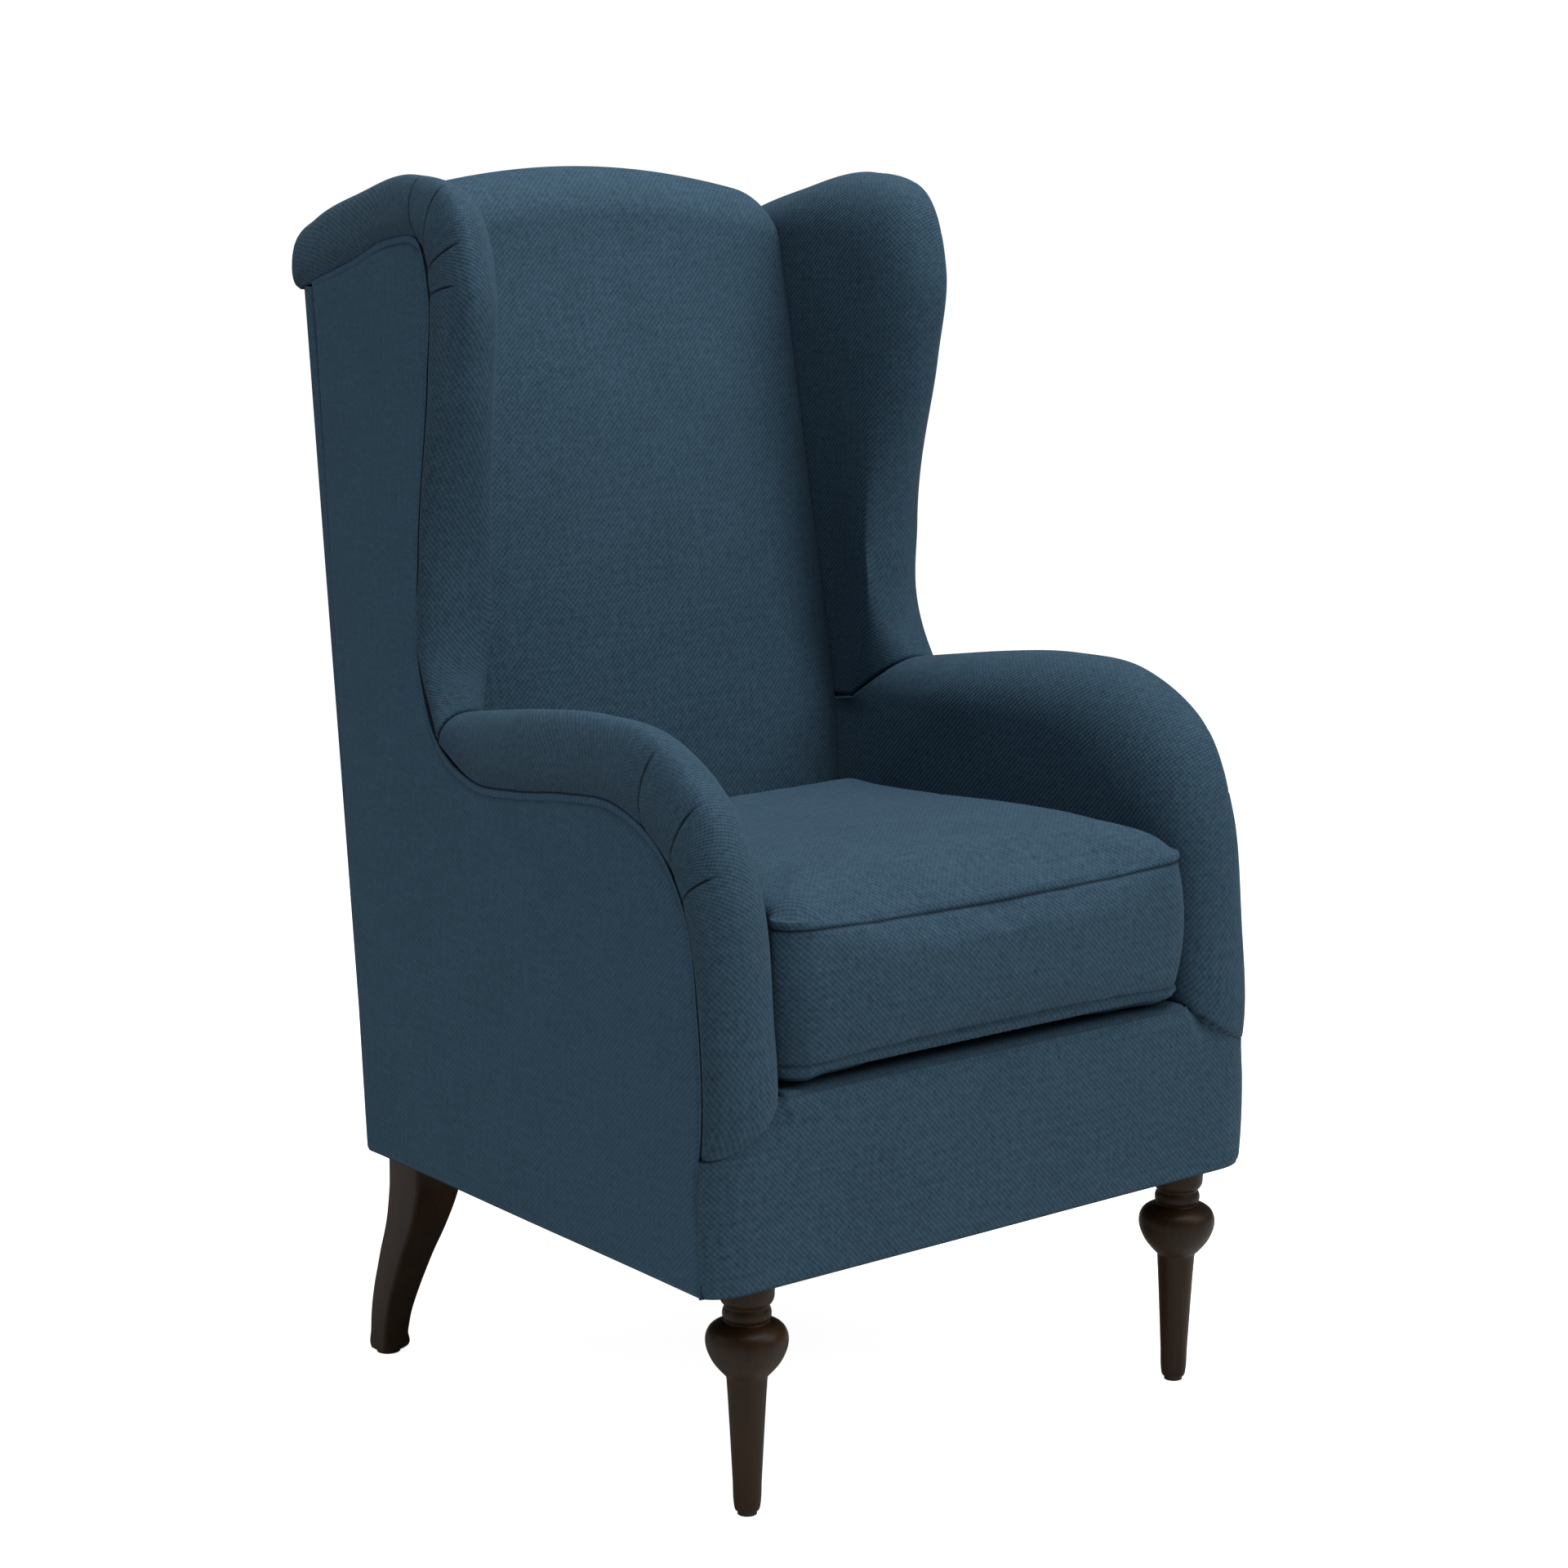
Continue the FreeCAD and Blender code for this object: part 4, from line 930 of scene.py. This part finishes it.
# Top patch, boxing rings and bottom patch that share their edge points. Returns points, faces and UVs.
def seatGrid():
    s, cells = seat, seat["cells"]
    runs = seatOutline(cells)
    patch = seatPatch(runs, cells)
    ring = np.concatenate([r[:-1] for r in runs])
    ringCount = len(ring)
    # grid numbers of the patch's edge, in the ring's order
    n = cells + 1
    edge = np.concatenate([np.arange(n - 1), np.arange(n - 1) * n + n - 1, n * n - 1 - np.arange(n - 1),
                           (n - 1 - np.arange(n - 1)) * n])
    toEdge = np.min(np.linalg.norm(patch[:, :, None] - ring[None, None, ::2], axis=-1), axis=2)
    rise = 1 - (1 - np.clip(toEdge / 0.085, 0, 1)) ** 2.8
    rise = rise * (s["crown"] + s["frontCrown"] * ease((0.05 - patch[..., 1]) / 0.26))
    lip = s["lip"] * (1 - np.clip(toEdge / 0.012, 0, 1)) ** 2
    top = np.concatenate([patch, (s["topSeam"] + rise - lip)[..., None]], -1).reshape(-1, 3)
    sink = (s["bottomSeam"] - s["bottom"]) * (1 - (1 - np.clip(toEdge / 0.02, 0, 1)) ** 2)
    low = np.concatenate([patch, (s["bottomSeam"] - sink)[..., None]], -1).reshape(-1, 3)
    v = (1 - np.cos(np.linspace(0, np.pi, s["boxRows"] + 2)[1:-1])) / 2
    away = np.gradient(np.concatenate([ring[-2:], ring, ring[:2]]), axis=0)[2:-2]
    away = np.stack([away[:, 1], -away[:, 0]], 1) / np.linalg.norm(away, axis=1, keepdims=True)
    height = s["topSeam"] + (s["bottomSeam"] - s["topSeam"]) * v
    boxes = [np.concatenate([ring + away * s["bulge"] * np.sin(np.pi * k) ** 0.8,
                             np.full((ringCount, 1), z)], 1) for k, z in zip(v, height)]
    points = np.concatenate([top, *boxes, low])
    lowStart = n * n + s["boxRows"] * ringCount
    rings = [n * n + k * ringCount + np.arange(ringCount) for k in range(s["boxRows"])]
    rows = [edge, *rings, edge + lowStart]
    patchFaces, _ = gridFaces(n, n)
    flat = patch.reshape(-1, 2)
    faces = [patchFaces, patchFaces[:, ::-1] + lowStart]
    uvs = [flat[patchFaces], flat[patchFaces[:, ::-1]] + 3.0]
    run = along(np.concatenate([ring, ring[:1]]))
    heights = np.concatenate([[0], v, [1]]) * (s["topSeam"] - s["bottomSeam"])
    x0, x1 = run[:-1], run[1:]
    for a, b, high, deep in zip(rows[:-1], rows[1:], heights[:-1], heights[1:]):
        faces.append(np.stack([a, b, np.roll(b, -1), np.roll(a, -1)], -1))
        x, z = np.stack([x0, x0, x1, x1], 1), -np.array([high, deep, deep, high]) + 0 * x0[:, None]
        uvs.append(np.stack([x, z], -1) + 1.5)
    return points, np.concatenate(faces), np.concatenate(uvs), rows, ring, away


def pointsOf(mesh):
    co = np.empty(len(mesh.vertices) * 3, np.float32)
    mesh.vertices.foreach_get("co", co)
    return co.reshape(-1, 3).astype(float)


# Cloth under inner pressure, with no gravity. No point keeps more of its way than the cap.
def swell(piece, rest):
    s = seat
    cloth = piece.modifiers.new("swell", "CLOTH")
    cloth.settings.use_pressure = True
    cloth.settings.uniform_pressure_force = s["pressure"]
    cloth.settings.effector_weights.gravity = 0
    cloth.settings.quality = 5
    cloth.settings.mass = 0.3
    cloth.settings.bending_stiffness = 2.0
    cloth.point_cache.frame_start, cloth.point_cache.frame_end = 1, s["frames"]
    for number in range(1, s["frames"] + 1):
        bpy.context.scene.frame_set(number)
    shown = piece.evaluated_get(bpy.context.evaluated_depsgraph_get())
    moved = pointsOf(shown.to_mesh()) - rest
    shown.to_mesh_clear()
    piece.modifiers.remove(cloth)
    bpy.context.scene.frame_set(1)
    far = np.linalg.norm(moved, axis=1, keepdims=True)
    return rest + moved * np.minimum(1, s["cap"] / np.maximum(far, 1e-9))


def cushionPiece():
    s = seat
    points, faces, uv, rows, ring, away = seatGrid()
    piece = meshPiece("seatCushion", points, faces, uv, coverCloth, inside=(0, -0.1, 0.43),
                      crease=np.zeros(len(points)))
    points = swell(piece, points)
    print("cushion swollen")
    # seams: a thin valley with a fine ridge beside it and painted shade along it, and small ears at the
    # front corners
    crease = np.zeros(len(points))
    corner = np.array([s["frontHalf"] - 0.011, s["frontY"] + 0.011])
    mirrored = np.stack([np.abs(ring[:, 0]), ring[:, 1]], 1)
    ear = bell(np.linalg.norm(mirrored - corner, axis=1), 0.016)
    down = (1 - np.cos(np.linspace(0, np.pi, len(rows)))) / 2 * (s["topSeam"] - s["bottomSeam"])
    for row, fromTop, fromLow in zip(rows, down, down[::-1]):
        off, offLow = fromTop - s["seamDown"], fromLow - s["seamUp"]
        push = 0.0008 * bell(off + 0.003, 0.003) - 0.0018 * bell(off, 0.0013)
        push = push + 0.0016 * bell(offLow + 0.004, 0.004) - 0.0022 * bell(offLow, 0.0015)
        lobe = 0.0035 * ear * (bell(fromTop, 0.007) + 0.7 * bell(fromLow, 0.007))
        points[row, :2] += away * (push + lobe)[:, None]
        # painted shade along the top and bottom seam lines
        crease[row] = np.maximum(bell(off, 0.0011), 0.9 * bell(offLow, 0.0012))
    uneven = ripple(points[:, 0], points[:, 1], 91, low=8, high=26)
    points[:, 2] += 0.0008 * uneven * (points[:, 2] > s["topSeam"])
    clear = innerX(armCurves["thickness"], points[:, 1], 0.62) - 0.0015
    limit = clear + 0.020 * ease((-0.292 - points[:, 1]) / 0.028)
    points[:, 0] = np.clip(points[:, 0], -limit, limit)
    points[:, 1] = np.minimum(points[:, 1], s["rearY"])
    points[:, 2] = np.maximum(points[:, 2], 0.3620)
    piece.data.vertices.foreach_set("co", points.astype(np.float32).ravel())
    piece.data.attributes["crease"].data.foreach_set("value", crease.astype(np.float32))
    piece.data.update()
    soften(piece)
    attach(piece, "cushion")
    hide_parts("cushion_foam", "cushion_boxing", "cushion_top_cover", "cushion_bottom_cover")


cushionPiece()
print("cushion ready")


studio = {"worldLight": 0.103, "floorGlow": 0.93,
          "lamps": [("keyLight", (2.0, -3.0, 3.0), 2.2, 47),    # name, place, size, power
                    ("topLight", (0.2, -0.5, 3.4), 2.6, 90),
                    ("sideLight", (-3.2, 1.2, 1.6), 2.2, 12)]}


def makeFloor():
    material, tree, shader = newMaterial("paleFloor")
    spots = noiseNode(tree, coordinates(tree, "Object"), 3, 3)
    seen = tree.nodes.new("ShaderNodeLightPath").outputs["Is Camera Ray"]
    feedAll(tree, shader, {
        "Base Color": mixNode(tree, spots, (0.93, 0.93, 0.93), (0.96, 0.96, 0.96)), "Roughness": 0.9,
        "Specular IOR Level": 0.1, "Emission Color": (1, 1, 1),
        "Emission Strength": mathNode(tree, "MULTIPLY", seen, studio["floorGlow"])})
    corners = [(-30, -30, 0), (30, -30, 0), (30, 30, 0), (-30, 30, 0)]
    mesh = bpy.data.meshes.new("studioFloor")
    mesh.from_pydata(corners, [], [(0, 1, 2, 3)])
    mesh.materials.append(material)
    floor = bpy.data.objects.new("studioFloor", mesh)
    bpy.context.scene.collection.objects.link(floor)


# A soft square lamp that faces the middle of the chair.
def makeLight(name, place, size, power):
    light = bpy.data.lights.new(name, "AREA")
    light.shape, light.size, light.energy = "SQUARE", size, power
    lamp = bpy.data.objects.new(name, light)
    lamp.location = place
    lamp.rotation_euler = (Vector((0, 0, 0.5)) - Vector(place)).to_track_quat("-Z", "Y").to_euler()
    bpy.context.scene.collection.objects.link(lamp)


# An even white room: bright to the eye, softer as light.
def makeWorld():
    world = bpy.data.worlds.new("studioRoom")
    world.use_nodes = True
    tree = world.node_tree
    seen = tree.nodes.new("ShaderNodeLightPath").outputs["Is Camera Ray"]
    dim = studio["worldLight"]
    strength = mathNode(tree, "MULTIPLY_ADD", seen, 1.02 - dim, dim)
    feedAll(tree, tree.nodes["Background"], {"Color": (1, 1, 1), "Strength": strength})
    bpy.context.scene.world = world


view = {"place": (-1.8601, -2.3593, 1.1083), "back": (-0.6146, -0.7666, 0.1861),
        "lens": 77.13, "sensor": 36.0}


def makeCamera():
    data = bpy.data.cameras.new("camera")
    data.lens, data.sensor_width = view["lens"], view["sensor"]
    camera = bpy.data.objects.new("camera", data)
    camera.location = view["place"]
    camera.rotation_euler = (-Vector(view["back"])).to_track_quat("-Z", "Y").to_euler()
    bpy.context.scene.collection.objects.link(camera)
    bpy.context.scene.camera = camera


makeFloor()
makeWorld()
for lamp in studio["lamps"]:
    makeLight(*lamp)
makeCamera()
bpy.context.scene.view_settings.view_transform = "Standard"
print("studio ready")
